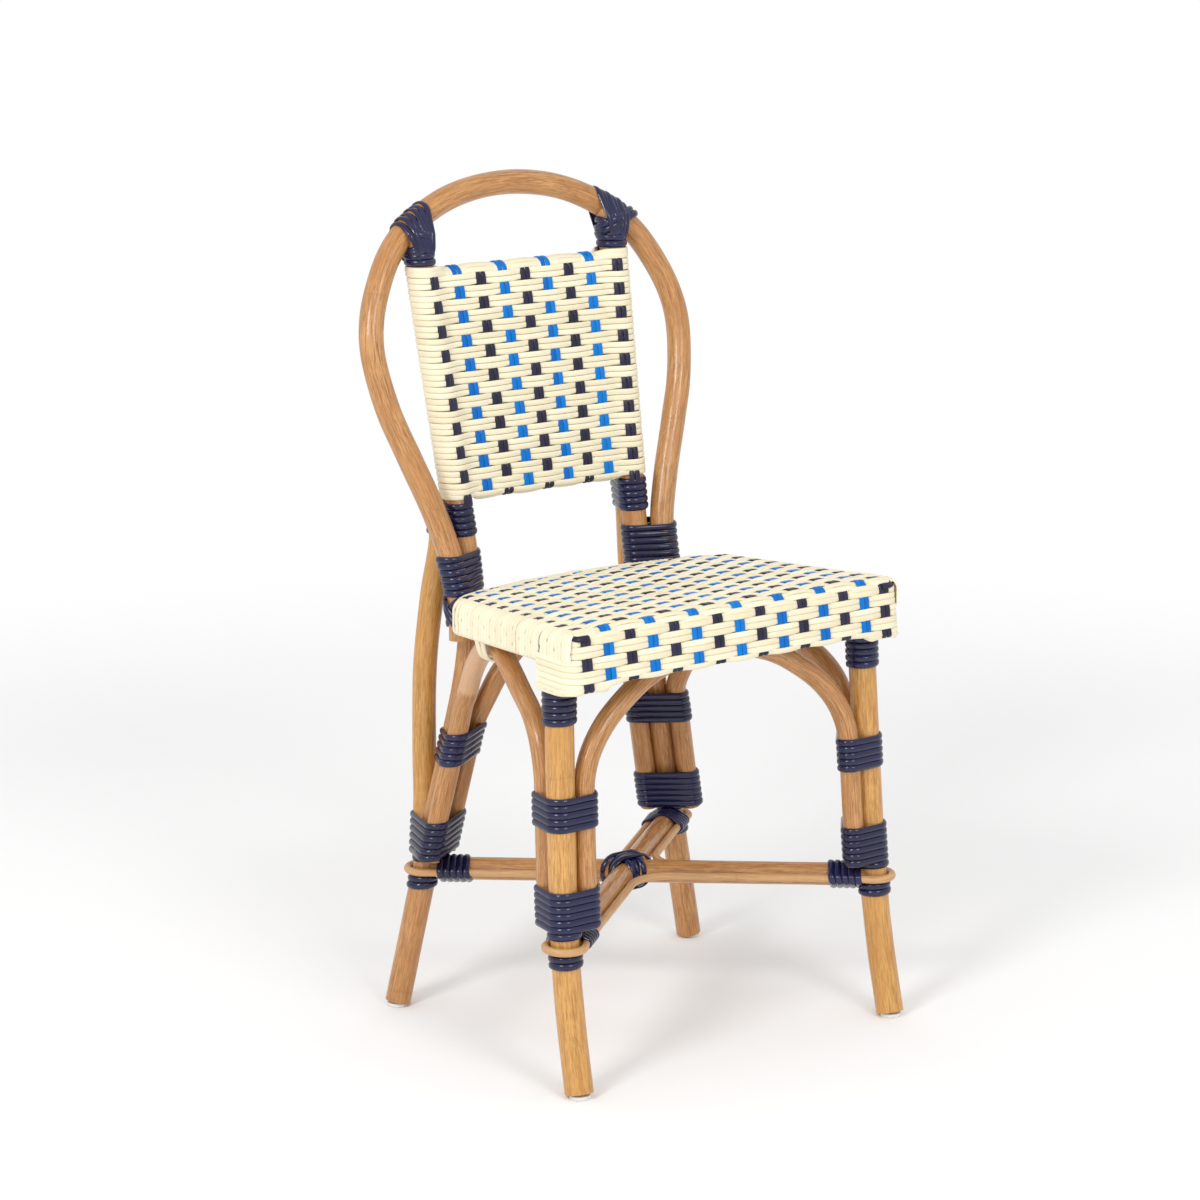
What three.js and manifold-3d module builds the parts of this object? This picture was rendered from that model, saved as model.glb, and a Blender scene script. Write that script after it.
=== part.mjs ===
// A rattan bistro chair: bent cane poles tied with flat blue strand, and a woven seat and back.
// Millimetres, +Z up. The chair faces -Y, and left and right are those of someone in front of it.
import * as THREE from "three";
import { mergeVertices } from "three/addons/utils/BufferGeometryUtils.js";
import Module from "manifold-3d";

const wasm = await Module();
wasm.setup();

// Pole and strand sizes
const frontLegDiameter = 29;
const rearLegDiameter = 27;
const hoopDiameter = 26;
const stayDiameter = 25.5;
const archDiameter = 21.5;
const stretcherDiameter = 24;
const caneDiameter = 8;
const seatFrameDiameter = 25;
const frontRailDiameter = 24;
const backRailDiameter = 18;
const strandWidth = 6.2;
const strandThickness = 2.4;
const strandPitch = 6.8;
const hoopStrandPitch = 7.5;
const clearance = 0.3;
const cutOverrun = 60;
const weldDistance = 0.005;

// Seat: heights are above the floor, and reach is measured along Y from the middle of the legs
const seatHeight = 472;
const seatFall = 18;
const seatFrontReach = 201.5;
const seatRearReach = 97;
const seatBlockWidth = 424;
const seatTaperStep = 4;
const seatTaper = 72;
const seatFrontCorner = 18;
const seatTightCorner = 3;
const seatRearCornerReach = 20;
const seatSideDepth = 38;
const seatFrontDepth = 58;
const seatCornerDepth = 68;
const seatCornerLength = 60;
const seatCornerWidth = 50;
const seatStep = 6;
const seatEdgeRound = 14;
const seatFrontLean = 6;
const seatFootRound = 4;
const weaveWall = 3.5;
const weaveFrontLip = 34;
const weaveSideLip = 12;
const weaveRearLip = 20;
const frameRoom = 4.7;
const frameGap = 2;
const lowRailRoom = 3.8;

// Front legs: an inset is measured inward from the side of the seat block
const frontFootInset = 9.8;
const frontFootReach = 200;
const frontKneeInset = 12.7;
const frontKneeReach = 171.7;
const frontKneeHeight = 150;
const frontShoulderInset = 18.5;
const frontShoulderReach = 155.5;
const frontShoulderHeight = 380;
const frontTopInset = 20;
const frontTopReach = 154.5;
const ankleHeight = 75;

// Rear legs, which carry on above the seat as the uprights of the back
const rearFootInset = 16.2;
const rearFootReach = 137;
const rearShinInset = 55;
const rearShinReach = 125.9;
const rearShinHeight = 180;
const rearThighInset = 91.3;
const rearThighReach = 112.3;
const rearThighHeight = 350;
const rearWaistInset = 98.4;
const rearWaistReach = 113.2;
const rearWaistHeight = 400;
const rearSeatInset = 101.2;
const rearSeatReach = 123.6;
const rearSeatDrop = 2;
const uprightFootInset = 98.5;
const uprightFootReach = 138;
const uprightFootRise = 2;
const uprightTopInset = 87;
const uprightTopReach = 192;
const uprightTopSink = 1.4;

// Back hoop
const hoopTopHeight = 852;
const hoopEndBelow = 12;
const hoopInset = 15.5;
const hoopShoulder = 61.7;
const hoopTopReach = 208;
const hoopBindReach = 114.5;
const hoopEndReach = 97;
const hoopBindRise = 3;
const hoopBow = 3.2;

// Back stays, behind the rear legs
const stayBellyInset = 74;
const stayBellyReach = 162.5;
const stayBellyHeight = 358;
const stayShoulderInset = 82.5;
const stayShoulderReach = 160.5;
const stayShoulderDrop = 68.5;
const stayShinInset = 69;
const stayShinReach = 158.5;
const stayShinHeight = 275;
const stayAnkleHeight = 215;
const stayEndHeight = 166;
const stayEndOffset = 8.5;

// Arches under the seat
const archFootHeight = 163.4;
const archStub = 6;
const limbRoom = 0.8;
const archSpringHeight = 290;
const sideArchSpringHeight = 305;
const frontArchDrop = 56;
const frontArchReach = 148;
const rearArchDrop = 68;
const rearArchReach = 97;
const sideArchInset = 27.7;
const sideArchGap = 0.65;

// Stretcher cross
const stretcherHeight = 148;
const lapRoom = 2;
const caneBend = 40;
const caneJoint = 0.8;
const caneRoom = 0.6;
const poleEndStart = 25;
const caneJoinReach = 2;

// Woven back
const backFootGap = 3.5;
const backBulge = 18;
const backEdgeRound = 4;
const backCavity = 16.5;
const backEdgeWall = 4;
const backRailInset = 13;

// Floor glides
const glideDiameter = 22;
const glideHeight = 4;

// Heights at which the strands start, and turns of each
const lowTieHeight = 165;
const midTieHeight = 266;
const legTopTieGap = 2.5;
const hoopEndTieDrop = 63;
const hoopTieGap = 4;
const hoopEndTiePitch = 12;
const panelFootTieGap = 14.5;
const uprightTieGap = 2;
const uprightTieRoom = 4.5;
const collarTopHeight = 142.5;
const collarHeight = 13.4;
const archTieReach = 5;
const archTiePitch = 7.6;
const lowTurns = 6;
const midTurns = 5;
const legTopTurns = 5;
const hoopFootTurns = 5;
const hoopEndTurns = 3;
const panelFootTurns = 5;
const hoopTopTurns = 5;
const uprightTurns = 1.5;
const poleEndTurns = 5;
const crossTurns = 3;
const archTieTurns = 3;

// Shape shares
const hoopSideShares = [
  [0.978, -0.02], [0.981, 0], [1, 0.09], [0.94, 0.195], [0.752, 0.292], [0.398, 0.424],
  [0.137, 0.526], [0, 0.647], [0.06, 0.714], [0.248, 0.78], [0.637, 0.863], [1.146, 0.923],
];
const hoopCrownShares = [[0.556, 0.979], [0, 1]];
const hoopEndBendShare = 0.5;
const frontArchShares = [
  [0.988, 0.16], [0.948, 0.32], [0.875, 0.476], [0.76, 0.635], [0.5, 0.865], [0.28, 0.965], [0, 1],
];
const rearArchShares = [
  [0.962, 0.12], [0.915, 0.225], [0.86, 0.333], [0.75, 0.54], [0.57, 0.76], [0.32, 0.93], [0, 1],
];
const sideArchShares = [
  [0.02, 0.18], [0.07, 0.4], [0.155, 0.575], [0.27, 0.7], [0.37, 0.815], [0.47, 0.925],
  [0.59, 1], [0.7, 0.9], [0.786, 0.74], [0.84, 0.6], [0.895, 0.4], [0.96, 0.2],
];
const seatRearShares = [
  [1, 0], [0.987, 0.26], [0.95, 0.416], [0.881, 0.584], [0.8, 0.688], [0.705, 0.753],
  [0.534, 0.864], [0.32, 0.955], [0.11, 0.995],
];
const backBulgeShares = [
  [-1.26, -0.63], [-0.46, -0.96], [0.29, -0.96], [0.86, -0.51], [1, 0],
  [0.86, 0.51], [0.29, 0.96], [-0.46, 0.96], [-1.26, 0.63],
];
const frontLimbShares = [-0.988, -0.15];
const sideFrontLimbShares = [0, 1];
const sideRearLimbShares = [0.52, -0.854];
const rearLimbShares = [-0.985, 0.15];
const stayTopShares = [0.33, 0.944];
const stayTieShares = [0.36, 0.933];
const stayAnkleShares = [-0.03, 1];
const stayEndShares = [0.1, 0.995];
const ankleSweepShare = 0.41;
const roundShare = 0.293;
const strandCrownShare = 0.5;
const backEdgeShare = 0.88;

// Facets
const poleSides = 10;
const archSides = 8;
const caneSides = 6;
const tieFacets = 8;
const cornerFacets = 3;
const bendFacets = 6;
const limbSteps = 6;
const panelSteps = 5;
const lineSamples = 240;

// Colours, roughness and metalness
const finishes = {
  honey: { color: 0xcf9455, roughness: 0.38, metalness: 0 },
  pale: { color: 0xdfae67, roughness: 0.38, metalness: 0 },
  peeled: { color: 0xe2bd8a, roughness: 0.42, metalness: 0 },
  navy: { color: 0x2a2e57, roughness: 0.3, metalness: 0 },
  cream: { color: 0xf6ecc9, roughness: 0.5, metalness: 0 },
  glide: { color: 0xe4e4e0, roughness: 0.45, metalness: 0 },
};

const chair = new THREE.Group();
const sideways = new THREE.Vector3(1, 0, 0);
const forward = new THREE.Vector3(0, -1, 0);
const upward = new THREE.Vector3(0, 0, 1);

function add(name, geometry, finish) {
  const mesh = new THREE.Mesh(geometry, new THREE.MeshStandardMaterial(finishes[finish]));
  mesh.name = name;
  chair.add(mesh);
}

// The right-hand piece and its mirror image
function addPair(name, geometry, finish) {
  const mirrored = geometry.clone().applyMatrix4(new THREE.Matrix4().makeScale(-1, 1, 1));
  add(`${name}_right`, geometry, finish);
  add(`${name}_left`, faceOut(mirrored), finish);
}

function place(inset, reach, height) {
  return new THREE.Vector3(seatBlockWidth / 2 - inset, reach, height);
}

function smooth(points) {
  return new THREE.CatmullRomCurve3(points, false, "centripetal");
}

function heightsBetween(from, to, count) {
  return Array.from({ length: count + 1 }, (_, k) => from + ((to - from) * k) / count);
}

function acrossMiddle(point) {
  return new THREE.Vector3(-point.x, point.y, point.z);
}

// Closed solids

function ringShape(diameter, facets) {
  const points = [];
  for (let k = 0; k < facets; k++) {
    const turn = (2 * Math.PI * k) / facets;
    points.push(new THREE.Vector2(Math.cos(turn), Math.sin(turn)).multiplyScalar(diameter / 2));
  }
  return new THREE.Shape(points);
}

function pole(curve, diameter, steps, facets = poleSides) {
  const options = { steps, bevelEnabled: false, extrudePath: curve };
  return new THREE.ExtrudeGeometry(ringShape(diameter, facets), options);
}

function bare(geometry) {
  const copy = geometry.clone();
  copy.deleteAttribute("normal");
  copy.deleteAttribute("uv");
  return mergeVertices(copy, weldDistance);
}

function faceOut(geometry) {
  const mesh = bare(geometry);
  const corners = mesh.attributes.position;
  const index = mesh.index.array;
  const [a, b, c] = [new THREE.Vector3(), new THREE.Vector3(), new THREE.Vector3()];
  let volume = 0;
  for (let k = 0; k < index.length; k += 3) {
    [a, b, c].forEach((p, i) => p.fromBufferAttribute(corners, index[k + i]));
    volume += a.dot(b.cross(c));
  }
  for (let k = 0; volume < 0 && k < index.length; k += 3) {
    [index[k], index[k + 1]] = [index[k + 1], index[k]];
  }
  mesh.computeVertexNormals();
  return mesh;
}

function toSolid(geometry) {
  const merged = bare(geometry);
  const vertProperties = new Float32Array(merged.attributes.position.array);
  const triVerts = new Uint32Array(merged.index.array);
  return new wasm.Manifold(new wasm.Mesh({ numProp: 3, vertProperties, triVerts }));
}

function toGeometry(solid) {
  const mesh = solid.getMesh();
  const geometry = new THREE.BufferGeometry();
  geometry.setAttribute("position", new THREE.BufferAttribute(mesh.vertProperties, 3));
  geometry.setIndex(new THREE.BufferAttribute(mesh.triVerts, 1));
  geometry.computeVertexNormals();
  return geometry;
}

function cut(geometry, cutters) {
  let solid = toSolid(geometry);
  for (const cutter of cutters) solid = solid.subtract(toSolid(cutter));
  return toGeometry(solid);
}

function slabBelow(height) {
  const slab = new THREE.BoxGeometry(seatBlockWidth * 2, seatBlockWidth * 2, cutOverrun);
  slab.translate(0, 0, height - cutOverrun / 2);
  return slab;
}

// A skin over rings of equal length, closed by a fan at its first and last ring
function loft(rings) {
  const size = rings[0].length;
  const middle = ring => ring.reduce((sum, p) => sum.add(p), new THREE.Vector3()).divideScalar(size);
  const points = [...rings.flat(), middle(rings[0]), middle(rings.at(-1))];
  const faces = [];
  for (let r = 0; r + 1 < rings.length; r++) {
    for (let k = 0; k < size; k++) {
      const a = r * size + k;
      const b = r * size + ((k + 1) % size);
      faces.push(a, b, a + size, b, b + size, a + size);
    }
  }
  const last = (rings.length - 1) * size;
  for (let k = 0; k < size; k++) {
    const next = (k + 1) % size;
    faces.push(rings.length * size, next, k);
    faces.push(rings.length * size + 1, last + k, last + next);
  }
  const geometry = new THREE.BufferGeometry().setFromPoints(points);
  geometry.setIndex(faces);
  return faceOut(geometry);
}

// Where a curve crosses a plane, nearest to a point of that plane
const sampled = new Map();
function crossing(curve, point, normal) {
  if (!sampled.has(curve)) sampled.set(curve, curve.getSpacedPoints(lineSamples));
  const line = sampled.get(curve);
  let best = null;
  for (let k = 0; k + 1 < line.length; k++) {
    const before = line[k].clone().sub(point).dot(normal);
    const after = line[k + 1].clone().sub(point).dot(normal);
    if (before * after > 0 || before === after) continue;
    const centre = line[k].clone().lerp(line[k + 1], before / (before - after));
    const away = centre.distanceTo(point);
    const direction = line[k + 1].clone().sub(line[k]).normalize();
    if (!best || away < best.away) best = { centre, direction, away };
  }
  return best;
}

function atHeight(curve, height) {
  return crossing(curve, new THREE.Vector3(seatBlockWidth, 0, height), upward).centre;
}

// How far a bundle of poles reaches from a point along a direction in the plane of one turn
function reachOf(bundle, point, normal, direction) {
  return Math.max(...bundle.map(([curve, diameter]) => {
    const hit = crossing(curve, point, normal);
    if (!hit) return -Infinity;
    const { centre, direction: axis } = hit;
    const slant = axis.dot(direction) / axis.dot(normal);
    return centre.clone().sub(point).dot(direction) + (diameter / 2) * Math.hypot(1, slant);
  }));
}

// The reach that clears the bundle over the whole width of a strand
function strandReach(bundle, point, normal, direction) {
  return Math.max(...[-1, 0, 1].map(side => {
    const beside = point.clone().addScaledVector(normal, (side * strandWidth) / 2);
    return reachOf(bundle, beside, normal, direction);
  }));
}

// A flat strand wound round a bundle as one unbroken tube. Each bend lies where two neighbouring
// tangent lines of the bundle meet, so every straight clears the poles by the same gap.
function winding(name, bundle, axis, turns, front = forward) {
  const step = (2 * Math.PI) / tieFacets;
  const count = turns * tieFacets - tieFacets / 2;
  const offset = clearance + strandThickness / 2;
  const bends = [];
  for (let k = 0; k <= count; k++) {
    const share = (k + tieFacets / 4) / (turns * tieFacets);
    const point = axis.getPointAt(share);
    const normal = axis.getTangentAt(share);
    const ahead = front.clone().addScaledVector(normal, -front.dot(normal)).normalize();
    const across = normal.clone().cross(ahead);
    const turned = angle => ahead.clone().multiplyScalar(Math.cos(angle))
      .addScaledVector(across, Math.sin(angle));
    const [here, next] = [k * step, (k + 1) * step];
    const one = strandReach(bundle, point, normal, turned(here)) + offset;
    const two = strandReach(bundle, point, normal, turned(next)) + offset;
    const centre = point.clone()
      .addScaledVector(ahead, (one * Math.sin(next) - two * Math.sin(here)) / Math.sin(step))
      .addScaledVector(across, (two * Math.cos(here) - one * Math.cos(next)) / Math.sin(step));
    bends.push({ centre, normal, outward: turned(here + step / 2), mitre: 1 / Math.cos(step / 2) });
  }
  const square = (bend, next) => {
    const way = next.centre.clone().sub(bend.centre).normalize();
    const outward = way.cross(bend.normal).normalize();
    bend.outward = outward.dot(bend.outward) < 0 ? outward.negate() : outward;
    bend.mitre = 1;
  };
  square(bends[0], bends[1]);
  square(bends.at(-1), bends.at(-2));
  const profile = [[-1, -1], [1, -1], [strandCrownShare, 1], [-strandCrownShare, 1]];
  const rings = bends.map(bend => profile.map(([along, out]) => bend.centre.clone()
    .addScaledVector(bend.normal, (along * strandWidth) / 2)
    .addScaledVector(bend.outward, (out * bend.mitre * strandThickness) / 2)));
  console.log(`${name}: ${turns} turns, least gap to itself ${leastGap(rings).toFixed(2)} mm`);
  return loft(rings);
}

// The least distance between points of a strand that lie about a turn apart
function leastGap(rings) {
  const parts = 6;
  const points = [];
  for (let r = 0; r + 1 < rings.length; r++) {
    for (let p = 0; p < parts; p++) {
      points.push(rings[r].map((corner, k) => corner.clone().lerp(rings[r + 1][k], p / parts)));
    }
  }
  let least = Infinity;
  const apart = (tieFacets - 2) * parts;
  for (let a = 0; a < points.length; a++) {
    for (let b = a + apart; b < Math.min(points.length, a + 2 * apart); b++) {
      for (const one of points[a]) {
        for (const two of points[b]) least = Math.min(least, one.distanceTo(two));
      }
    }
  }
  return least;
}

// The axis of a tie that climbs a bundle, starting beside the middle of its poles
function climb(curves, from, turns, pitch = strandPitch) {
  const middle = new THREE.Vector3();
  for (const curve of curves) middle.addScaledVector(atHeight(curve, from), 1 / curves.length);
  return new THREE.LineCurve3(middle, middle.clone().setZ(from + turns * pitch));
}

// A stretch of a curve, centred on its point nearest to a target
function stretchOf(curve, target, length) {
  const whole = curve.getLength();
  let middle = 0;
  for (let k = 0; k <= lineSamples; k++) {
    const near = curve.getPointAt(k / lineSamples).distanceTo(target);
    if (near < curve.getPointAt(middle).distanceTo(target)) middle = k / lineSamples;
  }
  const share = s => middle + ((s - 1 / 2) * length) / whole;
  return { getPointAt: s => curve.getPointAt(share(s)), getTangentAt: s => curve.getTangentAt(share(s)) };
}

// The seat outline on the right, from its front to its rear, inside the outer edge by three insets

const frameInset = weaveWall + frameRoom + seatFrameDiameter / 2;
const seatTaperWidth = seatBlockWidth + seatTaperStep;
const taperShare = seatTaper / 2 / (seatFrontReach + seatRearReach);
const blockEnd = seatCornerLength - seatFrontReach;
const cornerBlockStart = seatBlockWidth / 2 - seatCornerWidth;

function sideAt(y) {
  return seatTaperWidth / 2 - taperShare * (y + seatFrontReach);
}

function rightOutline(front, side, rear) {
  const frontEdge = front - seatFrontReach;
  const sideEdge = seatBlockWidth / 2 - side;
  const round = Math.max(seatFrontCorner - Math.min(front, side), seatTightCorner);
  const points = [
    new THREE.Vector2(cornerBlockStart - seatStep, frontEdge),
    new THREE.Vector2(cornerBlockStart, frontEdge),
  ];
  for (let k = 0; k <= cornerFacets; k++) {
    const turn = (k / cornerFacets - 1) * (Math.PI / 2);
    const centre = new THREE.Vector2(sideEdge - round, frontEdge + round);
    points.push(new THREE.Vector2(Math.cos(turn), Math.sin(turn)).multiplyScalar(round).add(centre));
  }
  points.push(new THREE.Vector2(sideEdge, blockEnd));
  points.push(new THREE.Vector2(sideAt(blockEnd + seatStep) - side, blockEnd + seatStep));
  for (const [out, back] of seatRearShares) {
    const depth = seatRearReach - rear - seatRearCornerReach;
    const half = sideAt(seatRearCornerReach) - side;
    points.push(new THREE.Vector2(half * out, seatRearCornerReach + depth * back));
  }
  return points;
}

function seatTop(y) {
  return seatHeight - (seatFall * (y + seatFrontReach)) / (seatFrontReach + seatRearReach);
}

function seatBottom(p) {
  if (p.y > blockEnd + seatStep / 2) return seatTop(p.y) - seatSideDepth;
  return seatHeight - (p.x > cornerBlockStart - seatStep / 2 ? seatCornerDepth : seatFrontDepth);
}

function seatRing(front, side, rear, level) {
  const right = rightOutline(front, side, rear).map(p => new THREE.Vector3(p.x, p.y, level(p)));
  return [...right, ...right.map(acrossMiddle).reverse()];
}

function evenRing(inset, lean, level) {
  return seatRing(inset + lean, inset, inset, level);
}

// Centre lines of the poles on the right

const seatTopAtLeg = seatTop(-frontTopReach);
const frontTopHeight = seatTopAtLeg - weaveWall - frameRoom - seatFrameDiameter - 2 * clearance;
const ankleReach = frontKneeReach + (frontFootReach - frontKneeReach) * ankleSweepShare;

const frontLeg = smooth([
  place(frontFootInset, -frontFootReach, 0),
  place((frontFootInset + frontKneeInset) / 2, -ankleReach, ankleHeight),
  place(frontKneeInset, -frontKneeReach, frontKneeHeight),
  place(frontShoulderInset, -frontShoulderReach, frontShoulderHeight),
  place(frontTopInset, -frontTopReach, frontTopHeight),
]);

// Heights behind the seat, each on top of the one before
const hoopEndTieHeight = seatHeight - hoopEndTieDrop;
const hoopEndHeight = hoopEndTieHeight - hoopEndBelow;
const hoopFootTieHeight = hoopEndTieHeight + hoopEndTurns * hoopEndTiePitch + hoopTieGap;
const hoopBindHeight = hoopFootTieHeight + hoopFootTurns * strandPitch + hoopBindRise;
const panelFootTieHeight = hoopBindHeight + panelFootTieGap;
const panelFootTieTop = panelFootTieHeight + panelFootTurns * strandPitch;
const backFootHeight = panelFootTieTop + backFootGap;

function hoopReach(height) {
  if (height < hoopBindHeight) {
    const share = (height - hoopEndHeight) / (hoopBindHeight - hoopEndHeight);
    return hoopEndReach + (hoopBindReach - hoopEndReach) * share * Math.max(share, hoopEndBendShare);
  }
  const share = (height - hoopBindHeight) / (hoopTopHeight - hoopBindHeight);
  const bow = hoopBow * 4 * share * (1 - share);
  return hoopBindReach + (hoopTopReach - hoopBindReach) * share - bow;
}

function hoopLine() {
  const at = (aside, up) => {
    const height = hoopEndHeight + (hoopTopHeight - hoopEndHeight) * up;
    return new THREE.Vector3(aside, hoopReach(height), height);
  };
  const widest = seatBlockWidth / 2 - hoopInset;
  const side = hoopSideShares.map(([inward, up]) => at(widest - hoopShoulder * inward, up));
  const half = [...side, ...hoopCrownShares.map(([out, up]) => at(side.at(-1).x * out, up))];
  return smooth([...half.slice(0, -1).map(acrossMiddle), ...half.reverse()]);
}

const hoop = hoopLine();

// The uprights end under the hoop, and the strand on each stops where the hoop comes near it
function hoopHeightAt(out) {
  return crossing(hoop, new THREE.Vector3(out, hoopTopReach, hoopTopHeight), sideways).centre.z;
}

const uprightTopAside = seatBlockWidth / 2 - uprightTopInset;
const uprightTopHeight = hoopHeightAt(uprightTopAside) - uprightTopSink;
const hoopAway = (hoopDiameter + rearLegDiameter) / 2 + strandThickness + uprightTieRoom;
const uprightTieHeight = hoopHeightAt(uprightTopAside + hoopAway) - uprightTurns * strandPitch;
const backTopHeight = uprightTieHeight - uprightTieGap;

const rearLeg = smooth([
  place(rearFootInset, rearFootReach, 0),
  place(rearShinInset, rearShinReach, rearShinHeight),
  place(rearThighInset, rearThighReach, rearThighHeight),
  place(rearWaistInset, rearWaistReach, rearWaistHeight),
  place(rearSeatInset, rearSeatReach, seatHeight - rearSeatDrop),
  place(uprightFootInset, uprightFootReach, backFootHeight + uprightFootRise),
  place(uprightTopInset, uprightTopReach, uprightTopHeight),
]);

// A limb lies beside its leg by shares of the distance between their centres
function beside(leg, distance, [out, back], height) {
  return atHeight(leg, height).add(new THREE.Vector3(out * distance, back * distance, 0));
}

function limb(leg, legDiameter, shares, top) {
  const distance = (legDiameter + archDiameter) / 2 + limbRoom;
  const foot = archFootHeight - archStub;
  return heightsBetween(foot, top, limbSteps).map(height => beside(leg, distance, shares, height));
}

function crossArch(limbPoints, outline, height, reach) {
  const spring = limbPoints.at(-1);
  const rise = outline.map(([out, up]) => new THREE.Vector3(
    spring.x * out,
    spring.y + (reach - spring.y) * up,
    spring.z + (height - spring.z) * up,
  ));
  const right = [...limbPoints, ...rise];
  return smooth([...right.slice(0, -1).map(acrossMiddle), ...right.reverse()]);
}

function sideArchLine() {
  const front = limb(frontLeg, frontLegDiameter, sideFrontLimbShares, sideArchSpringHeight);
  const rear = limb(rearLeg, rearLegDiameter, sideRearLimbShares, sideArchSpringHeight);
  const [apex] = sideArchShares.find(([, up]) => up === 1);
  const bow = front.at(-1).clone().lerp(rear.at(-1), apex).x - (sideAt(archTieReach) - sideArchInset);
  const under = Math.sqrt(
    ((seatFrameDiameter + archDiameter) / 2 + sideArchGap) ** 2 - (sideArchInset - frameInset) ** 2);
  const top = seatTop(archTieReach) - frameInset - under;
  const crown = sideArchShares.map(([along, up]) => {
    const point = front.at(-1).clone().lerp(rear.at(-1), along);
    point.x -= (bow * Math.sin(Math.PI * along)) / Math.sin(Math.PI * apex);
    return point.setZ(sideArchSpringHeight + (top - sideArchSpringHeight) * up);
  });
  return smooth([...front, ...crown, ...rear.reverse()]);
}

const frontLimb = limb(frontLeg, frontLegDiameter, frontLimbShares, archSpringHeight);
const rearLimb = limb(rearLeg, rearLegDiameter, rearLimbShares, archSpringHeight);
const frontArch = crossArch(frontLimb, frontArchShares, seatHeight - frontArchDrop, -frontArchReach);
const rearArch = crossArch(rearLimb, rearArchShares, seatHeight - rearArchDrop, rearArchReach);
const sideArch = sideArchLine();

const stayAway = (rearLegDiameter + stayDiameter) / 2 + clearance;
const stay = smooth([
  beside(rearLeg, stayAway, stayTopShares, panelFootTieTop),
  beside(rearLeg, stayAway, stayTieShares, panelFootTieHeight),
  place(stayShoulderInset, stayShoulderReach, panelFootTieHeight - stayShoulderDrop),
  place(stayBellyInset, stayBellyReach, stayBellyHeight),
  place(stayShinInset, stayShinReach, stayShinHeight),
  beside(rearLeg, stayAway, stayAnkleShares, stayAnkleHeight),
  beside(rearLeg, stayEndOffset, stayEndShares, stayEndHeight),
]);

// Legs, uprights, stays, hoop and glides

const bindingRoom = 2 * (strandThickness + 2 * clearance);
const floorCut = slabBelow(glideHeight + clearance);
const facetShare = Math.cos(Math.PI / tieFacets) * Math.cos(Math.PI / poleSides);
const saddleWidth = (hoopDiameter + bindingRoom) / facetShare;
const saddle = pole(hoop, saddleWidth, 64);
const fatRearLeg = pole(rearLeg, rearLegDiameter + 2 * clearance, 24);
addPair("front_leg", cut(pole(frontLeg, frontLegDiameter, 10), [floorCut]), "pale");
addPair("rear_leg", cut(pole(rearLeg, rearLegDiameter, 24), [floorCut, saddle]), "honey");
addPair("back_stay", cut(pole(stay, stayDiameter, 18), [fatRearLeg]), "pale");
add("back_hoop", cut(pole(hoop, hoopDiameter, 56), [slabBelow(hoopEndHeight)]), "honey");
for (const [end, leg] of [["front", frontLeg], ["rear", rearLeg]]) {
  const glide = new THREE.CylinderGeometry(glideDiameter / 2, glideDiameter / 2, glideHeight, poleSides);
  const foot = atHeight(leg, glideHeight);
  glide.rotateX(Math.PI / 2);
  glide.translate(foot.x, foot.y, glideHeight / 2);
  addPair(`glide_${end}`, glide, "glide");
}

// Arches

const archFoot = slabBelow(archFootHeight);
add("front_arch", cut(pole(frontArch, archDiameter, 34, archSides), [archFoot]), "honey");
add("rear_arch", cut(pole(rearArch, archDiameter, 34, archSides), [archFoot]), "honey");
addPair("side_arch", cut(pole(sideArch, archDiameter, 34, archSides), [archFoot]), "honey");

// Stretcher cross: two poles half lapped in the middle, with a cane that runs round both

const frontFoot = atHeight(frontLeg, stretcherHeight);
const rearFoot = atHeight(rearLeg, stretcherHeight);
const crossShare = frontFoot.x / (frontFoot.x + rearFoot.x);
const crossPoint = acrossMiddle(frontFoot).lerp(rearFoot, crossShare);

function collar(leg, legDiameter) {
  const outer = pole(leg, legDiameter + 2 * (clearance + strandThickness), 24);
  const inner = pole(leg, legDiameter + 2 * clearance, 24);
  const slab = new THREE.BoxGeometry(seatBlockWidth * 2, seatBlockWidth * 2, collarHeight);
  slab.translate(0, 0, collarTopHeight - collarHeight / 2);
  return toGeometry(toSolid(outer).intersect(toSolid(slab)).subtract(toSolid(inner)));
}

function mirrorGeometry(geometry) {
  return faceOut(geometry.clone().applyMatrix4(new THREE.Matrix4().makeScale(-1, 1, 1)));
}

const fatFrontLeg = pole(frontLeg, frontLegDiameter + bindingRoom, 24);
const fattestRearLeg = pole(rearLeg, rearLegDiameter + bindingRoom, 24);

const [frontWay, rearWay] = [frontFoot, rearFoot].map(foot => foot.clone().sub(crossPoint));
const crossAngle = Math.min(frontWay.angleTo(rearWay), frontWay.angleTo(acrossMiddle(rearWay)));
const lapLength = stretcherDiameter / Math.tan(crossAngle / 2) + lapRoom;

function stretcherPole(frontSide, lapUp) {
  const from = frontSide < 0 ? acrossMiddle(frontFoot) : frontFoot;
  const to = frontSide < 0 ? rearFoot : acrossMiddle(rearFoot);
  const way = to.clone().sub(from);
  const lap = new THREE.BoxGeometry(lapLength, lapLength, stretcherDiameter);
  lap.rotateZ(Math.atan2(way.y, way.x));
  lap.translate(crossPoint.x, crossPoint.y, crossPoint.z + (lapUp * (stretcherDiameter - clearance)) / 2);
  const frontEnd = frontSide < 0 ? mirrorGeometry(fatFrontLeg) : fatFrontLeg;
  const rearEnd = frontSide < 0 ? fattestRearLeg : mirrorGeometry(fattestRearLeg);
  return cut(pole(new THREE.LineCurve3(from, to), stretcherDiameter, 2), [frontEnd, rearEnd, lap]);
}

add("stretcher_left_to_right", stretcherPole(-1, 1), "honey");
add("stretcher_right_to_left", stretcherPole(1, -1), "honey");

// The cane keeps one distance from the poles, and rounds the legs and the four inner corners

const caneAway = (stretcherDiameter + caneDiameter) / 2 + caneRoom;

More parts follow.
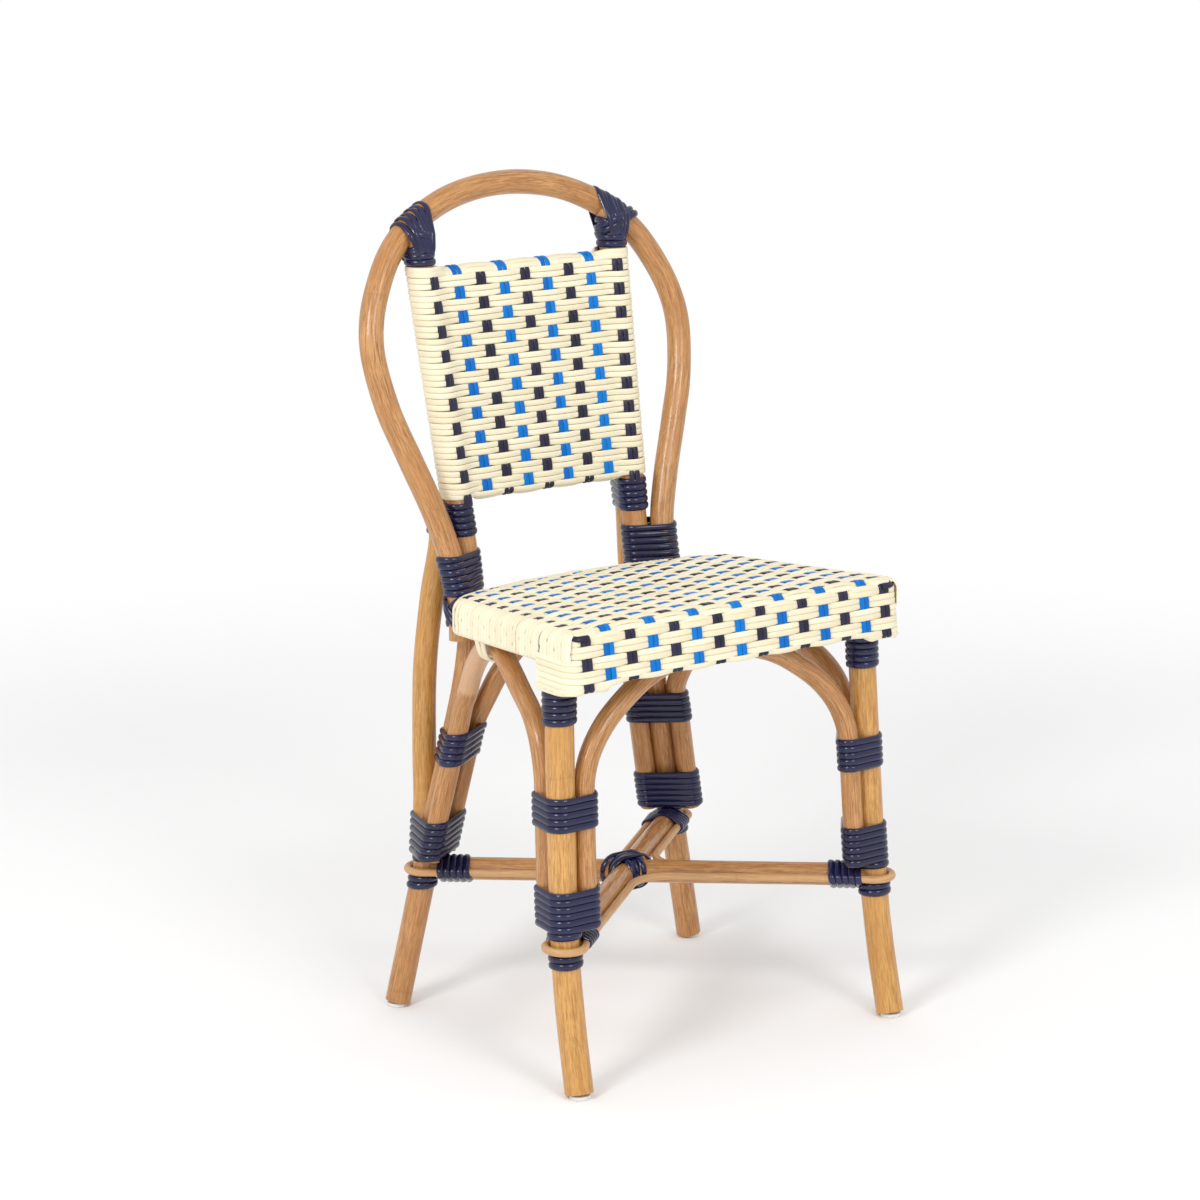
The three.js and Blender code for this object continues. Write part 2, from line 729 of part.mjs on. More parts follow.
function flat(angle, length) {
  return new THREE.Vector3(Math.cos(angle), Math.sin(angle), 0).multiplyScalar(length);
}

function roundLeg(foot, legDiameter) {
  const way = foot.clone().sub(crossPoint);
  const heading = Math.atan2(way.y, way.x);
  const away = (legDiameter + caneDiameter) / 2 + 2 * caneRoom;
  const straight = side => foot.clone().add(flat(heading, caneJoinReach - poleEndStart))
    .add(flat(heading + (side * Math.PI) / 2, caneAway));
  const points = [straight(-1)];
  for (let k = 0; k <= bendFacets; k++) {
    const turn = heading + (k / bendFacets - 1 / 2) * Math.PI;
    points.push(foot.clone().add(flat(turn, away)));
  }
  return [...points, straight(1)];
}

function innerCorner(before, after) {
  const half = (after - before) / 2;
  const middle = before + half;
  const inside = crossPoint.clone().add(flat(middle, (caneAway + caneBend) / Math.sin(half)));
  const points = [];
  for (let k = 0; k <= bendFacets; k++) {
    const turn = middle + Math.PI + (1 / 2 - k / bendFacets) * (Math.PI - 2 * half);
    points.push(inside.clone().add(flat(turn, caneBend)));
  }
  return points;
}

function canePath() {
  const frontAngle = Math.atan2(frontFoot.y - crossPoint.y, frontFoot.x - crossPoint.x);
  const rearAngle = Math.atan2(rearFoot.y - crossPoint.y, rearFoot.x - crossPoint.x);
  const frontCorner = innerCorner(-Math.PI - frontAngle, frontAngle);
  const rearCorner = innerCorner(rearAngle, Math.PI - rearAngle);
  const right = [
    ...frontCorner.slice(bendFacets / 2 + 1),
    ...roundLeg(frontFoot, frontLegDiameter),
    ...innerCorner(frontAngle, rearAngle),
    ...roundLeg(rearFoot, rearLegDiameter),
    ...rearCorner.slice(0, bendFacets / 2),
  ];
  const joint = rearCorner[bendFacets / 2].clone();
  joint.x = caneJoint / 2;
  right.push(joint);
  return [...right.map(acrossMiddle).reverse(), frontCorner[bendFacets / 2], ...right];
}

function flatSweep(points, diameter, facets) {
  const rings = points.map((point, k) => {
    const before = points[Math.max(k - 1, 0)];
    const after = points[Math.min(k + 1, points.length - 1)];
    const along = point.clone().sub(before).normalize().add(after.clone().sub(point).normalize());
    const outward = along.cross(upward).normalize();
    const ring = [];
    for (let f = 0; f < facets; f++) {
      const turn = (2 * Math.PI * f) / facets;
      ring.push(point.clone().addScaledVector(outward, (Math.cos(turn) * diameter) / 2)
        .addScaledVector(upward, (Math.sin(turn) * diameter) / 2));
    }
    return ring;
  });
  return loft(rings);
}

add("stretcher_cane", flatSweep(canePath(), caneDiameter, caneSides), "peeled");

// Seat frame and rails

const lowRailReach = seatFrontReach - weaveWall - lowRailRoom - frontRailDiameter / 2;
const topRailReach = seatFrontReach - weaveWall - seatFrontLean - 2 * clearance - frontRailDiameter / 2;
const topRailHeight = seatTop(-topRailReach) - weaveWall - 2 * clearance - frontRailDiameter / 2;
const lowRailHeight = seatHeight - seatFrontDepth + weaveWall + 2 * clearance + frontRailDiameter / 2;
const frameStart = -topRailReach + frontRailDiameter / 2 + frameGap;
const railLength = seatBlockWidth - 2 * (seatFrontCorner - weaveWall) - 2 * clearance;

function frameLine() {
  const outline = rightOutline(frameInset, frameInset, frameInset).slice(-seatRearShares.length);
  const start = new THREE.Vector2(sideAt(frameStart) - frameInset, frameStart);
  const right = [start, ...outline].map(p => new THREE.Vector3(p.x, p.y, seatTop(p.y) - frameInset));
  return smooth([...right, ...right.map(acrossMiddle).reverse()]);
}

function straightRail(reach, height, length, diameter) {
  const from = new THREE.Vector3(-length / 2, reach, height);
  return pole(new THREE.LineCurve3(from, acrossMiddle(from)), diameter, 1);
}

const frame = frameLine();
add("seat_frame", pole(frame, seatFrameDiameter, 40), "honey");
const topRail = straightRail(-topRailReach, topRailHeight, railLength, frontRailDiameter);
const lowRail = straightRail(-lowRailReach, lowRailHeight, railLength, frontRailDiameter);
add("seat_rail_front_top", topRail, "honey");
add("seat_rail_front_low", lowRail, "honey");

// Woven seat: one closed skin, open underneath inside a lip, with room for the leg tops and ties

const top = inset => p => seatTop(p.y) - inset;
const bottom = inset => p => seatBottom(p) + inset;
const lip = [weaveFrontLip, weaveSideLip, weaveRearLip];
const innerRound = seatEdgeRound - weaveWall;
const seatShell = loft([
  evenRing(seatEdgeRound, seatFrontLean, top(weaveWall)),
  evenRing(weaveWall + innerRound * roundShare, seatFrontLean, top(weaveWall + innerRound * roundShare)),
  evenRing(weaveWall, seatFrontLean, top(seatEdgeRound)),
  evenRing(weaveWall, 0, bottom(weaveWall)),
  seatRing(...lip, bottom(weaveWall)),
  seatRing(...lip, bottom(0)),
  evenRing(seatFootRound, 0, bottom(0)),
  evenRing(0, 0, bottom(seatFootRound)),
  evenRing(0, seatFrontLean, top(seatEdgeRound)),
  evenRing(seatEdgeRound * roundShare, seatFrontLean, top(seatEdgeRound * roundShare)),
  evenRing(seatEdgeRound, seatFrontLean, top(0)),
]);

const tieLength = archTieTurns * archTiePitch;
const tieSlotDepth = weaveSideLip + weaveWall;
const tieSlot = new THREE.BoxGeometry(tieSlotDepth, tieLength + strandWidth, 4 * weaveWall);
const tieSlotEdge = sideAt(archTieReach) - weaveWall - clearance;
tieSlot.translate(tieSlotEdge - tieSlotDepth / 2, archTieReach, seatTop(archTieReach) - seatSideDepth);
const legHole = pole(frontLeg, frontLegDiameter + 2 * clearance, 24);
const endTieLength = hoopEndTurns * hoopEndTiePitch;
const endSlab = new THREE.BoxGeometry(seatBlockWidth, seatBlockWidth, endTieLength + 2 * strandWidth);
endSlab.translate(seatBlockWidth / 2, 0, hoopEndTieHeight + endTieLength / 2);
const endPoles = [pole(rearLeg, (rearLegDiameter + bindingRoom) / facetShare, 24), saddle];
const endSlices = endPoles.map(geometry => toSolid(geometry).intersect(toSolid(endSlab)));
const endRoom = toGeometry(wasm.Manifold.hull(endSlices));
const seatCuts = [legHole, tieSlot, endRoom].flatMap(room => [room, mirrorGeometry(room)]);
add("seat_weave", cut(seatShell, seatCuts), "cream");

// Woven back: a skin that bulges round the uprights, with rails across inside it

function backRing(height, share) {
  const centre = atHeight(rearLeg, height);
  const right = backBulgeShares.map(([out, back]) => new THREE.Vector3(
    centre.x + out * backBulge,
    centre.y + back * backBulge * share,
    height,
  ));
  return [...right, ...right.map(acrossMiddle).reverse()];
}

function cavityRing(height) {
  const centre = atHeight(rearLeg, height);
  return [[-1, -1], [1, -1], [1, 1], [-1, 1]].map(([out, back]) => new THREE.Vector3(
    out * centre.x,
    centre.y + (back * backCavity) / 2,
    height,
  ));
}

const backSkin = loft([
  backRing(backFootHeight, backEdgeShare),
  ...heightsBetween(backFootHeight + backEdgeRound, backTopHeight - backEdgeRound, panelSteps)
    .map(height => backRing(height, 1)),
  backRing(backTopHeight, backEdgeShare),
]);
const backHollow = loft(
  heightsBetween(backFootHeight + backEdgeWall, backTopHeight - backEdgeWall, panelSteps).map(cavityRing),
);
const mirroredFatLeg = mirrorGeometry(fatRearLeg);
const railHeights = { foot: backFootHeight + backRailInset, top: backTopHeight - backRailInset };
const railRooms = Object.values(railHeights).map(height => straightRail(
  atHeight(rearLeg, height).y, height, 2 * atHeight(rearLeg, height).x, backRailDiameter + 2 * clearance));
add("back_weave", cut(backSkin, [fatRearLeg, mirroredFatLeg, backHollow, ...railRooms]), "cream");
for (const [end, height] of Object.entries(railHeights)) {
  const centre = atHeight(rearLeg, height);
  const rail = straightRail(centre.y, height, 2 * centre.x, backRailDiameter);
  add(`back_rail_${end}`, cut(rail, [fatRearLeg, mirroredFatLeg]), "honey");
}

// Strand ties

const frontBundle = [[frontLeg, frontLegDiameter], [frontArch, archDiameter], [sideArch, archDiameter]];
const rearBundle = [[rearLeg, rearLegDiameter], [rearArch, archDiameter], [sideArch, archDiameter]];
const hoopBundle = [[rearLeg, rearLegDiameter], [hoop, hoopDiameter]];
const stayBundle = [[rearLeg, rearLegDiameter], [stay, stayDiameter]];

function tie(name, bundle, from, turns, pitch = strandPitch) {
  const axis = climb([bundle[0][0]], from, turns, pitch);
  addPair(name, winding(name, bundle, axis, turns), "navy");
}

tie("tie_front_low", frontBundle, lowTieHeight, lowTurns);
tie("tie_front_middle", frontBundle, midTieHeight, midTurns);
const legTopTieHeight = seatHeight - seatCornerDepth - legTopTieGap - legTopTurns * strandPitch;
tie("tie_front_top", frontBundle.slice(0, 1), legTopTieHeight, legTopTurns);
tie("tie_rear_low", [...rearBundle, [stay, stayDiameter]], lowTieHeight, lowTurns);
tie("tie_rear_middle", rearBundle, midTieHeight, midTurns);
tie("tie_hoop_foot", hoopBundle, hoopFootTieHeight, hoopFootTurns);
tie("tie_hoop_end", hoopBundle, hoopEndTieHeight, hoopEndTurns, hoopEndTiePitch);
tie("tie_panel_foot", stayBundle, panelFootTieHeight, panelFootTurns);
tie("tie_upright_top", stayBundle.slice(0, 1), uprightTieHeight, uprightTurns);

const hoopAxis = stretchOf(hoop, place(uprightTopInset, uprightTopReach, uprightTopHeight),
  hoopTopTurns * hoopStrandPitch);
addPair("tie_hoop_top", winding("tie_hoop_top", [[hoop, hoopDiameter]], hoopAxis, hoopTopTurns), "navy");

addPair("collar_front", collar(frontLeg, frontLegDiameter), "navy");
addPair("collar_rear", collar(rearLeg, rearLegDiameter), "navy");

function poleEndTie(name, foot) {
  const way = crossPoint.clone().sub(foot).normalize();
  const beyond = way.clone().cross(upward).multiplyScalar(caneAway);
  const line = shift => new THREE.LineCurve3(foot.clone().add(shift), crossPoint.clone().add(shift));
  const bundle = [
    [line(new THREE.Vector3()), stretcherDiameter],
    [line(beyond), caneDiameter],
    [line(beyond.clone().negate()), caneDiameter],
  ];
  const start = foot.clone().addScaledVector(way, poleEndStart);
  const end = start.clone().addScaledVector(way, poleEndTurns * strandPitch);
  const axis = new THREE.LineCurve3(start, end);
  addPair(name, winding(name, bundle, axis, poleEndTurns, upward), "navy");
}

poleEndTie("tie_stretcher_front", frontFoot);
poleEndTie("tie_stretcher_rear", rearFoot);

const crossBundle = [
  [new THREE.LineCurve3(acrossMiddle(frontFoot), rearFoot), stretcherDiameter],
  [new THREE.LineCurve3(frontFoot, acrossMiddle(rearFoot)), stretcherDiameter],
];
const crossHalf = sideways.clone().multiplyScalar((crossTurns * strandPitch) / 2);
const crossStart = crossPoint.clone().sub(crossHalf);
const crossAxis = new THREE.LineCurve3(crossStart, crossPoint.clone().add(crossHalf));
const crossTie = winding("tie_stretcher_cross", crossBundle, crossAxis, crossTurns, upward);
add("tie_stretcher_cross", crossTie, "navy");

const tieMiddle = new THREE.Vector3(sideAt(archTieReach) - frameInset, archTieReach,
  seatTop(archTieReach) - frameInset);
const tieAxis = stretchOf(frame, tieMiddle, tieLength);
const archBundle = [[frame, seatFrameDiameter], [sideArch, archDiameter + 2 * clearance]];
const archTie = winding("tie_side_arch", archBundle, tieAxis, archTieTurns, upward);
addPair("tie_side_arch", archTie, "cream");

// Stand the chair in the middle of its own box

const box = new THREE.Box3().setFromObject(chair);
const centre = box.getCenter(new THREE.Vector3());
chair.position.set(-centre.x, -centre.y, -box.min.z);
console.log(`moved by ${chair.position.toArray().map(v => v.toFixed(3)).join(", ")}`);

export default chair;
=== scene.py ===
import math
import random
import bpy
from mathutils import Vector, Matrix


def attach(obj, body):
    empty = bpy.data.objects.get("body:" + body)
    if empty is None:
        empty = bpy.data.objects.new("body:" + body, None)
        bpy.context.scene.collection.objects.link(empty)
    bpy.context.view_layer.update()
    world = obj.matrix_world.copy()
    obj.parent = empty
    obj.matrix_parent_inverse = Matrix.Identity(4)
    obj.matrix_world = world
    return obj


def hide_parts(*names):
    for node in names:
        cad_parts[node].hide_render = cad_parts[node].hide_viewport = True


# Rattan bistro chair: bent poles, strand ties, and a woven seat and back.
# Lengths in the dictionaries are millimetres. Seen from the front, x runs to the right and y to the rear.

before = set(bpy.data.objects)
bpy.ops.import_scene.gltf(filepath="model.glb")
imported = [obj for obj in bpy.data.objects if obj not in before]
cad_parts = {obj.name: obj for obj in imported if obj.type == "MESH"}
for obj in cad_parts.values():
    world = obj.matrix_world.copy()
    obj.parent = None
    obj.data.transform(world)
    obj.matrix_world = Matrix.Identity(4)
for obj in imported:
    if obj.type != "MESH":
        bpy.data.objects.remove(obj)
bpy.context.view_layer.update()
bpy.ops.object.select_all(action="DESELECT")
random.seed(7)

chair = {"shiftY": -3.913, "turnSteps": 40}


def place(x, y, z):
    return Vector((x, y + chair["shiftY"], z)) / 1000


def mirrored(points):
    return [Vector((-p.x, p.y, p.z)) for p in points]


bothSides = (("right", 1), ("left", -1))


def onSide(points, side):
    return points if side == "right" else mirrored(points)


def smoothLine(points, steps=14):
    # centripetal curve through the points
    line = []
    for k in range(len(points) - 1):
        p1, p2 = points[k], points[k + 1]
        p0 = points[k - 1] if k else p1 * 2 - p2
        p3 = points[k + 2] if k + 2 < len(points) else p2 * 2 - p1
        d0, d1, d2 = ((b - a).length ** 0.5 for a, b in ((p0, p1), (p1, p2), (p2, p3)))
        t1 = ((p1 - p0) / d0 - (p2 - p0) / (d0 + d1) + (p2 - p1) / d1) * d1
        t2 = ((p2 - p1) / d1 - (p3 - p1) / (d1 + d2) + (p3 - p2) / d2) * d1
        for s in range(steps):
            t = s / steps
            line.append(p1 + t1 * t + (p2 * 3 - p1 * 3 - t1 * 2 - t2) * t * t
                        + (p1 * 2 - p2 * 2 + t1 + t2) * t ** 3)
    return line + [points[-1].copy()]


def evenLine(line, step):
    lengths = [0]
    for a, b in zip(line, line[1:]):
        lengths.append(lengths[-1] + (b - a).length)
    count = max(2, round(lengths[-1] / step))
    even, k = [], 0
    for n in range(count + 1):
        want = lengths[-1] * n / count
        while k + 2 < len(line) and lengths[k + 1] < want:
            k += 1
        span = lengths[k + 1] - lengths[k]
        even.append(line[k].lerp(line[k + 1], (want - lengths[k]) / span if span else 0))
    return even


def blend(value, low, high):
    share = min(1, max(0, (value - low) / (high - low)))
    return share * share * (3 - 2 * share)


def atHeight(line, height):
    for a, b in zip(line, line[1:]):
        if (a.z - height) * (b.z - height) <= 0 and a.z != b.z:
            return a.lerp(b, (height - a.z) / (b.z - a.z))
    return min(line, key=lambda p: abs(p.z - height)).copy()


def above(line, height):
    # the part of a line over a height, cut clean at both ends
    kept = [p for p in line if p.z > height]
    ends = [atHeight(half, height) for half in (line, line[::-1])]
    if line[0].z < height:
        kept.insert(0, ends[0])
    if line[-1].z < height:
        kept.append(ends[1])
    return kept


def beside(line, distance, shares, height):
    return atHeight(line, height / 1000) + Vector((shares[0], shares[1], 0)) * distance / 1000


frontLegLine = smoothLine([place(202.2, -200, 0), place(200.75, -183.3, 75), place(199.3, -171.7, 150),
                           place(193.5, -155.5, 380), place(192, -154.5, 435.4)])
rearLegLine = smoothLine([place(195.8, 137, 0), place(157, 125.9, 180), place(120.7, 112.3, 350),
                          place(113.6, 113.2, 400), place(110.8, 123.6, 470), place(113.5, 138, 540),
                          place(125, 192, 816)])

hoop = {"diameter": 26, "half": 196.5, "end": 397, "top": 852, "bind": 486, "reach": (97, 114.5, 208),
        "bow": 3.2, "outline": [(0.693, -0.02), (0.692, 0), (0.686, 0.09), (0.705, 0.195), (0.764, 0.292),
                                (0.875, 0.424), (0.957, 0.526), (1, 0.647), (0.981, 0.714), (0.922, 0.78),
                                (0.8, 0.863), (0.64, 0.923), (0.356, 0.979), (0, 1)]}


def hoopReach(height):
    end, bound, top = hoop["reach"]
    if height < hoop["bind"]:
        share = (height - hoop["end"]) / (hoop["bind"] - hoop["end"])
        return end + (bound - end) * share * max(share, 0.5)
    share = (height - hoop["bind"]) / (hoop["top"] - hoop["bind"])
    return bound + (top - bound) * share - hoop["bow"] * 4 * share * (1 - share)


hoopHalf = []
for out, up in hoop["outline"]:
    level = hoop["end"] + (hoop["top"] - hoop["end"]) * up
    hoopHalf.append(place(hoop["half"] * out, hoopReach(level), level))
hoopLine = smoothLine(mirrored(hoopHalf[:-1]) + hoopHalf[::-1])

stay = {"diameter": 25.5, "away": 26.55, "scarf": 8.5}
stayLine = smoothLine([beside(rearLegLine, stay["away"], (0.33, 0.944), 534.5),
                       beside(rearLegLine, stay["away"], (0.36, 0.933), 500.5),
                       place(129.5, 160.5, 432), place(138, 162.5, 358), place(143, 158.5, 275),
                       beside(rearLegLine, stay["away"], (-0.03, 1), 215),
                       beside(rearLegLine, stay["scarf"], (0.1, 0.995), 166)])

# outlines are shares of each arch's half width and of its rise
arch = {"diameter": 21.5, "foot": 163.4, "start": 157.4, "spring": 290, "sideSpring": 305, "sideTop": 416,
        "bow": 2.93, "frontTop": 416, "frontReach": -148, "rearTop": 404, "rearReach": 97,
        "frontAway": 26.05, "rearAway": 25.05,
        "front": [(0.988, 0.16), (0.948, 0.32), (0.875, 0.476), (0.76, 0.635), (0.5, 0.865), (0.28, 0.965),
                  (0, 1)],
        "rear": [(0.962, 0.12), (0.915, 0.225), (0.86, 0.333), (0.75, 0.54), (0.57, 0.76), (0.32, 0.93),
                 (0, 1)],
        "side": [(0.02, 0.18), (0.07, 0.4), (0.155, 0.575), (0.27, 0.7), (0.37, 0.815), (0.47, 0.925),
                 (0.59, 1), (0.7, 0.9), (0.786, 0.74), (0.84, 0.6), (0.895, 0.4), (0.96, 0.2)]}


def limbPoints(line, distance, shares, top):
    low = arch["start"]
    return [beside(line, distance, shares, low + (top - low) * k / 6) for k in range(7)]


def crossArch(limb, outline, height, reach):
    spring = limb[-1]
    crown = place(0, reach, height)
    rise = [Vector((spring.x * out, spring.y + (crown.y - spring.y) * up,
                    spring.z + (crown.z - spring.z) * up)) for out, up in outline]
    right = limb + rise
    return smoothLine(mirrored(right[:-1]) + right[::-1])


def sideArchPoints():
    front = limbPoints(frontLegLine, arch["frontAway"], (0, 1), arch["sideSpring"])
    rear = limbPoints(rearLegLine, arch["rearAway"], (0.52, -0.854), arch["sideSpring"])
    crown = []
    for along, up in arch["side"]:
        point = front[-1].lerp(rear[-1], along)
        point.x -= arch["bow"] * math.sin(math.pi * along) / 1000
        point.z = (arch["sideSpring"] + (arch["sideTop"] - arch["sideSpring"]) * up) / 1000
        crown.append(point)
    return smoothLine(front + crown + rear[::-1])


frontArchLine = crossArch(limbPoints(frontLegLine, arch["frontAway"], (-0.988, -0.15), arch["spring"]),
                          arch["front"], arch["frontTop"], arch["frontReach"])
rearArchLine = crossArch(limbPoints(rearLegLine, arch["rearAway"], (-0.985, 0.15), arch["spring"]),
                         arch["rear"], arch["rearTop"], arch["rearReach"])
sideArchLine = sideArchPoints()


def newGroup(name, inputs, outputs):
    group = bpy.data.node_groups.new(name, "ShaderNodeTree")
    for title, kind, value in inputs:
        socket = group.interface.new_socket(title, in_out="INPUT", socket_type=kind)
        socket.default_value = value
    for title, kind in outputs:
        group.interface.new_socket(title, in_out="OUTPUT", socket_type=kind)
    return group


def addNode(tree, kind, links=None, **values):
    # links are input name or number to a socket or a plain value
    node = tree.nodes.new(kind)
    for name, value in values.items():
        setattr(node, name, value)
    for key, value in (links or {}).items():
        socket = node.inputs[key]
        if isinstance(value, bpy.types.NodeSocket):
            tree.links.new(value, socket)
        else:
            socket.default_value = value
    return node


def maths(tree, operation, a, b=0.0, c=0.0):
    return addNode(tree, "ShaderNodeMath", {0: a, 1: b, 2: c}, operation=operation).outputs[0]


def mixColor(tree, factor, a, b):
    return addNode(tree, "ShaderNodeMix", {0: factor, 6: a, 7: b}, data_type="RGBA").outputs[2]


def remap(tree, value, low, high, toLow=0.0, toHigh=1.0):
    return addNode(tree, "ShaderNodeMapRange", {0: value, 1: low, 2: high, 3: toLow, 4: toHigh},
                   interpolation_type="SMOOTHSTEP").outputs[0]


def noiseOf(tree, vector, scale, detail=3.0, roughness=0.5, distortion=0.0):
    links = {"Vector": vector, "Scale": scale, "Detail": detail, "Roughness": roughness,
             "Distortion": distortion}
    return addNode(tree, "ShaderNodeTexNoise", links).outputs["Fac"]


def srgb(red, green, blue):
    def linear(value):
        value /= 255
        return value / 12.92 if value <= 0.04045 else ((value + 0.055) / 1.055) ** 2.4
    return (linear(red), linear(green), linear(blue), 1)


def makeWrapGroup():
    # turns a piece's own UV, metres along and a share around, into a seamless vector
    group = newGroup("wrapAround", [("Along", "NodeSocketFloat", 1.0), ("Around", "NodeSocketFloat", 1.0)],
                     [("Vector", "NodeSocketVector")])
    source = group.nodes.new("NodeGroupInput")
    uv = addNode(group, "ShaderNodeUVMap", uv_map="UVMap")
    parts = addNode(group, "ShaderNodeSeparateXYZ", {0: uv.outputs[0]})
    turn = maths(group, "MULTIPLY", parts.outputs[1], 2 * math.pi)
    along = maths(group, "MULTIPLY", parts.outputs[0], source.outputs["Along"])
    sine = maths(group, "MULTIPLY", maths(group, "SINE", turn), source.outputs["Around"])
    cosine = maths(group, "MULTIPLY", maths(group, "COSINE", turn), source.outputs["Around"])
    vector = addNode(group, "ShaderNodeCombineXYZ", {0: along, 1: sine, 2: cosine})
    result = group.nodes.new("NodeGroupOutput")
    group.links.new(vector.outputs[0], result.inputs[0])
    return group


wrapGroup = makeWrapGroup()


def wrapVector(tree, along, around):
    node = tree.nodes.new("ShaderNodeGroup")
    node.node_tree = wrapGroup
    node.inputs["Along"].default_value = along
    node.inputs["Around"].default_value = around
    return node.outputs[0]


def makeGrainGroup():
    # fibres, blotches and the rings where leaves once grew
    group = newGroup("poleGrain", [("Ring spacing", "NodeSocketFloat", 0.3)],
                     [(title, "NodeSocketFloat") for title in ("Fibres", "Blotches", "Rings", "Height")])
    source = group.nodes.new("NodeGroupInput")
    fine = noiseOf(group, wrapVector(group, 0.9, 0.16), 42.0, 5.0, 0.66)
    hair = noiseOf(group, wrapVector(group, 1.9, 0.36), 60.0, 3.0, 0.65)
    broad = noiseOf(group, wrapVector(group, 6.0, 0.16), 2.4, 4.0, 0.55, 0.6)
    fibres = maths(group, "ADD", maths(group, "MULTIPLY", fine, 0.6), maths(group, "MULTIPLY", hair, 0.4))
    uv = addNode(group, "ShaderNodeUVMap", uv_map="UVMap")
    parts = addNode(group, "ShaderNodeSeparateXYZ", {0: uv.outputs[0]})
    waver = maths(group, "MULTIPLY", noiseOf(group, wrapVector(group, 3.0, 0.5), 3.0), 0.004)
    length = maths(group, "ADD", parts.outputs[0], waver)
    cycle = maths(group, "FRACT", maths(group, "DIVIDE", length, source.outputs["Ring spacing"]))
    away = maths(group, "MULTIPLY", maths(group, "ABSOLUTE", maths(group, "SUBTRACT", cycle, 0.5)),
                 source.outputs["Ring spacing"])
    rings = remap(group, away, 0.0006, 0.0022, 1.0, 0.0)
    height = maths(group, "SUBTRACT", maths(group, "MULTIPLY", fibres, 0.5),
                   maths(group, "MULTIPLY", rings, 0.6))
    result = group.nodes.new("NodeGroupOutput")
    for name, socket in (("Fibres", fibres), ("Blotches", broad), ("Rings", rings), ("Height", height)):
        group.links.new(socket, result.inputs[name])
    return group


grainGroup = makeGrainGroup()


def emptyTree(owner):
    owner.use_nodes = True
    owner.node_tree.nodes.clear()
    return owner.node_tree


def newMaterial(name, roughness, coat=0.0):
    material = bpy.data.materials.new(name)
    tree = emptyTree(material)
    shader = addNode(tree, "ShaderNodeBsdfPrincipled", {"Roughness": roughness, "Coat Weight": coat,
                                                        "Coat Roughness": 0.12})
    out = tree.nodes.new("ShaderNodeOutputMaterial")
    tree.links.new(shader.outputs[0], out.inputs[0])
    return material, tree, shader


def bumpFrom(tree, shader, height, strength, distance):
    bump = addNode(tree, "ShaderNodeBump", {"Strength": strength, "Distance": distance, "Height": height})
    tree.links.new(bump.outputs[0], shader.inputs["Normal"])


paleLimb, ringTone = srgb(214, 172, 134), srgb(150, 92, 42)


def poleMaterial(name, dark, light, warm, ringSpacing=0.31, roughness=0.38, coat=0.34):
    material, tree, shader = newMaterial(name, roughness, coat)
    grain = tree.nodes.new("ShaderNodeGroup")
    grain.node_tree = grainGroup
    grain.inputs["Ring spacing"].default_value = ringSpacing
    fibres = remap(tree, grain.outputs["Fibres"], 0.38, 0.6)
    blotches = remap(tree, grain.outputs["Blotches"], 0.3, 0.7)
    color = mixColor(tree, fibres, dark, light)
    color = mixColor(tree, maths(tree, "MULTIPLY", blotches, 0.55), color, warm)
    tone = addNode(tree, "ShaderNodeAttribute", attribute_name="paleness")
    color = mixColor(tree, tone.outputs["Fac"], color, paleLimb)
    rings = maths(tree, "MULTIPLY", grain.outputs["Rings"], 0.14)
    color = mixColor(tree, rings, color, ringTone)
    tree.links.new(color, shader.inputs["Base Color"])
    rough = maths(tree, "ADD", maths(tree, "MULTIPLY", grain.outputs["Fibres"], 0.16), roughness - 0.08)
    tree.links.new(rough, shader.inputs["Roughness"])
    bumpFrom(tree, shader, grain.outputs["Height"], 0.5, 0.0004)
    return material


def strandMaterial(name, dark, light, roughness, coat, shine=0.5):
    material, tree, shader = newMaterial(name, roughness, coat)
    shader.inputs["Specular IOR Level"].default_value = shine
    lines = noiseOf(tree, wrapVector(tree, 5.0, 1.1), 3.2, 3.0, 0.55)
    cloud = noiseOf(tree, wrapVector(tree, 30.0, 0.4), 1.3, 2.0)
    tone = addNode(tree, "ShaderNodeAttribute", attribute_name="tone")
    share = maths(tree, "ADD", maths(tree, "MULTIPLY", lines, 0.45), maths(tree, "MULTIPLY", cloud, 0.25))
    share = maths(tree, "ADD", share, maths(tree, "MULTIPLY", tone.outputs["Fac"], 0.4))
    color = mixColor(tree, remap(tree, share, 0.15, 0.85), dark, light)
    tree.links.new(color, shader.inputs["Base Color"])
    rough = maths(tree, "ADD", maths(tree, "MULTIPLY", cloud, 0.14), roughness - 0.07)
    tree.links.new(rough, shader.inputs["Roughness"])
    bumpFrom(tree, shader, lines, 0.25, 0.0003)
    return material


honeyPole = poleMaterial("honeyPole", srgb(146, 95, 50), srgb(208, 155, 97), srgb(180, 122, 64))
palePole = poleMaterial("palePole", srgb(168, 115, 52), srgb(218, 165, 92), srgb(192, 136, 64), 0.36)
peeledCane = poleMaterial("peeledCane", srgb(172, 126, 78), srgb(216, 174, 124), srgb(198, 152, 102),
                          0.5, 0.45, 0.05)
navyTie = strandMaterial("navyTie", srgb(15, 17, 50), srgb(25, 28, 70), 0.2, 0.1)
creamStrand = strandMaterial("creamStrand", srgb(232, 221, 188), srgb(245, 237, 210), 0.4, 0.05, 0.4)
navyStrand = strandMaterial("navyStrand", srgb(30, 28, 46), srgb(46, 43, 68), 0.3, 0.0, 0.3)
blueStrand = strandMaterial("blueStrand", srgb(0, 94, 178), srgb(0, 122, 208), 0.3, 0.0, 0.22)


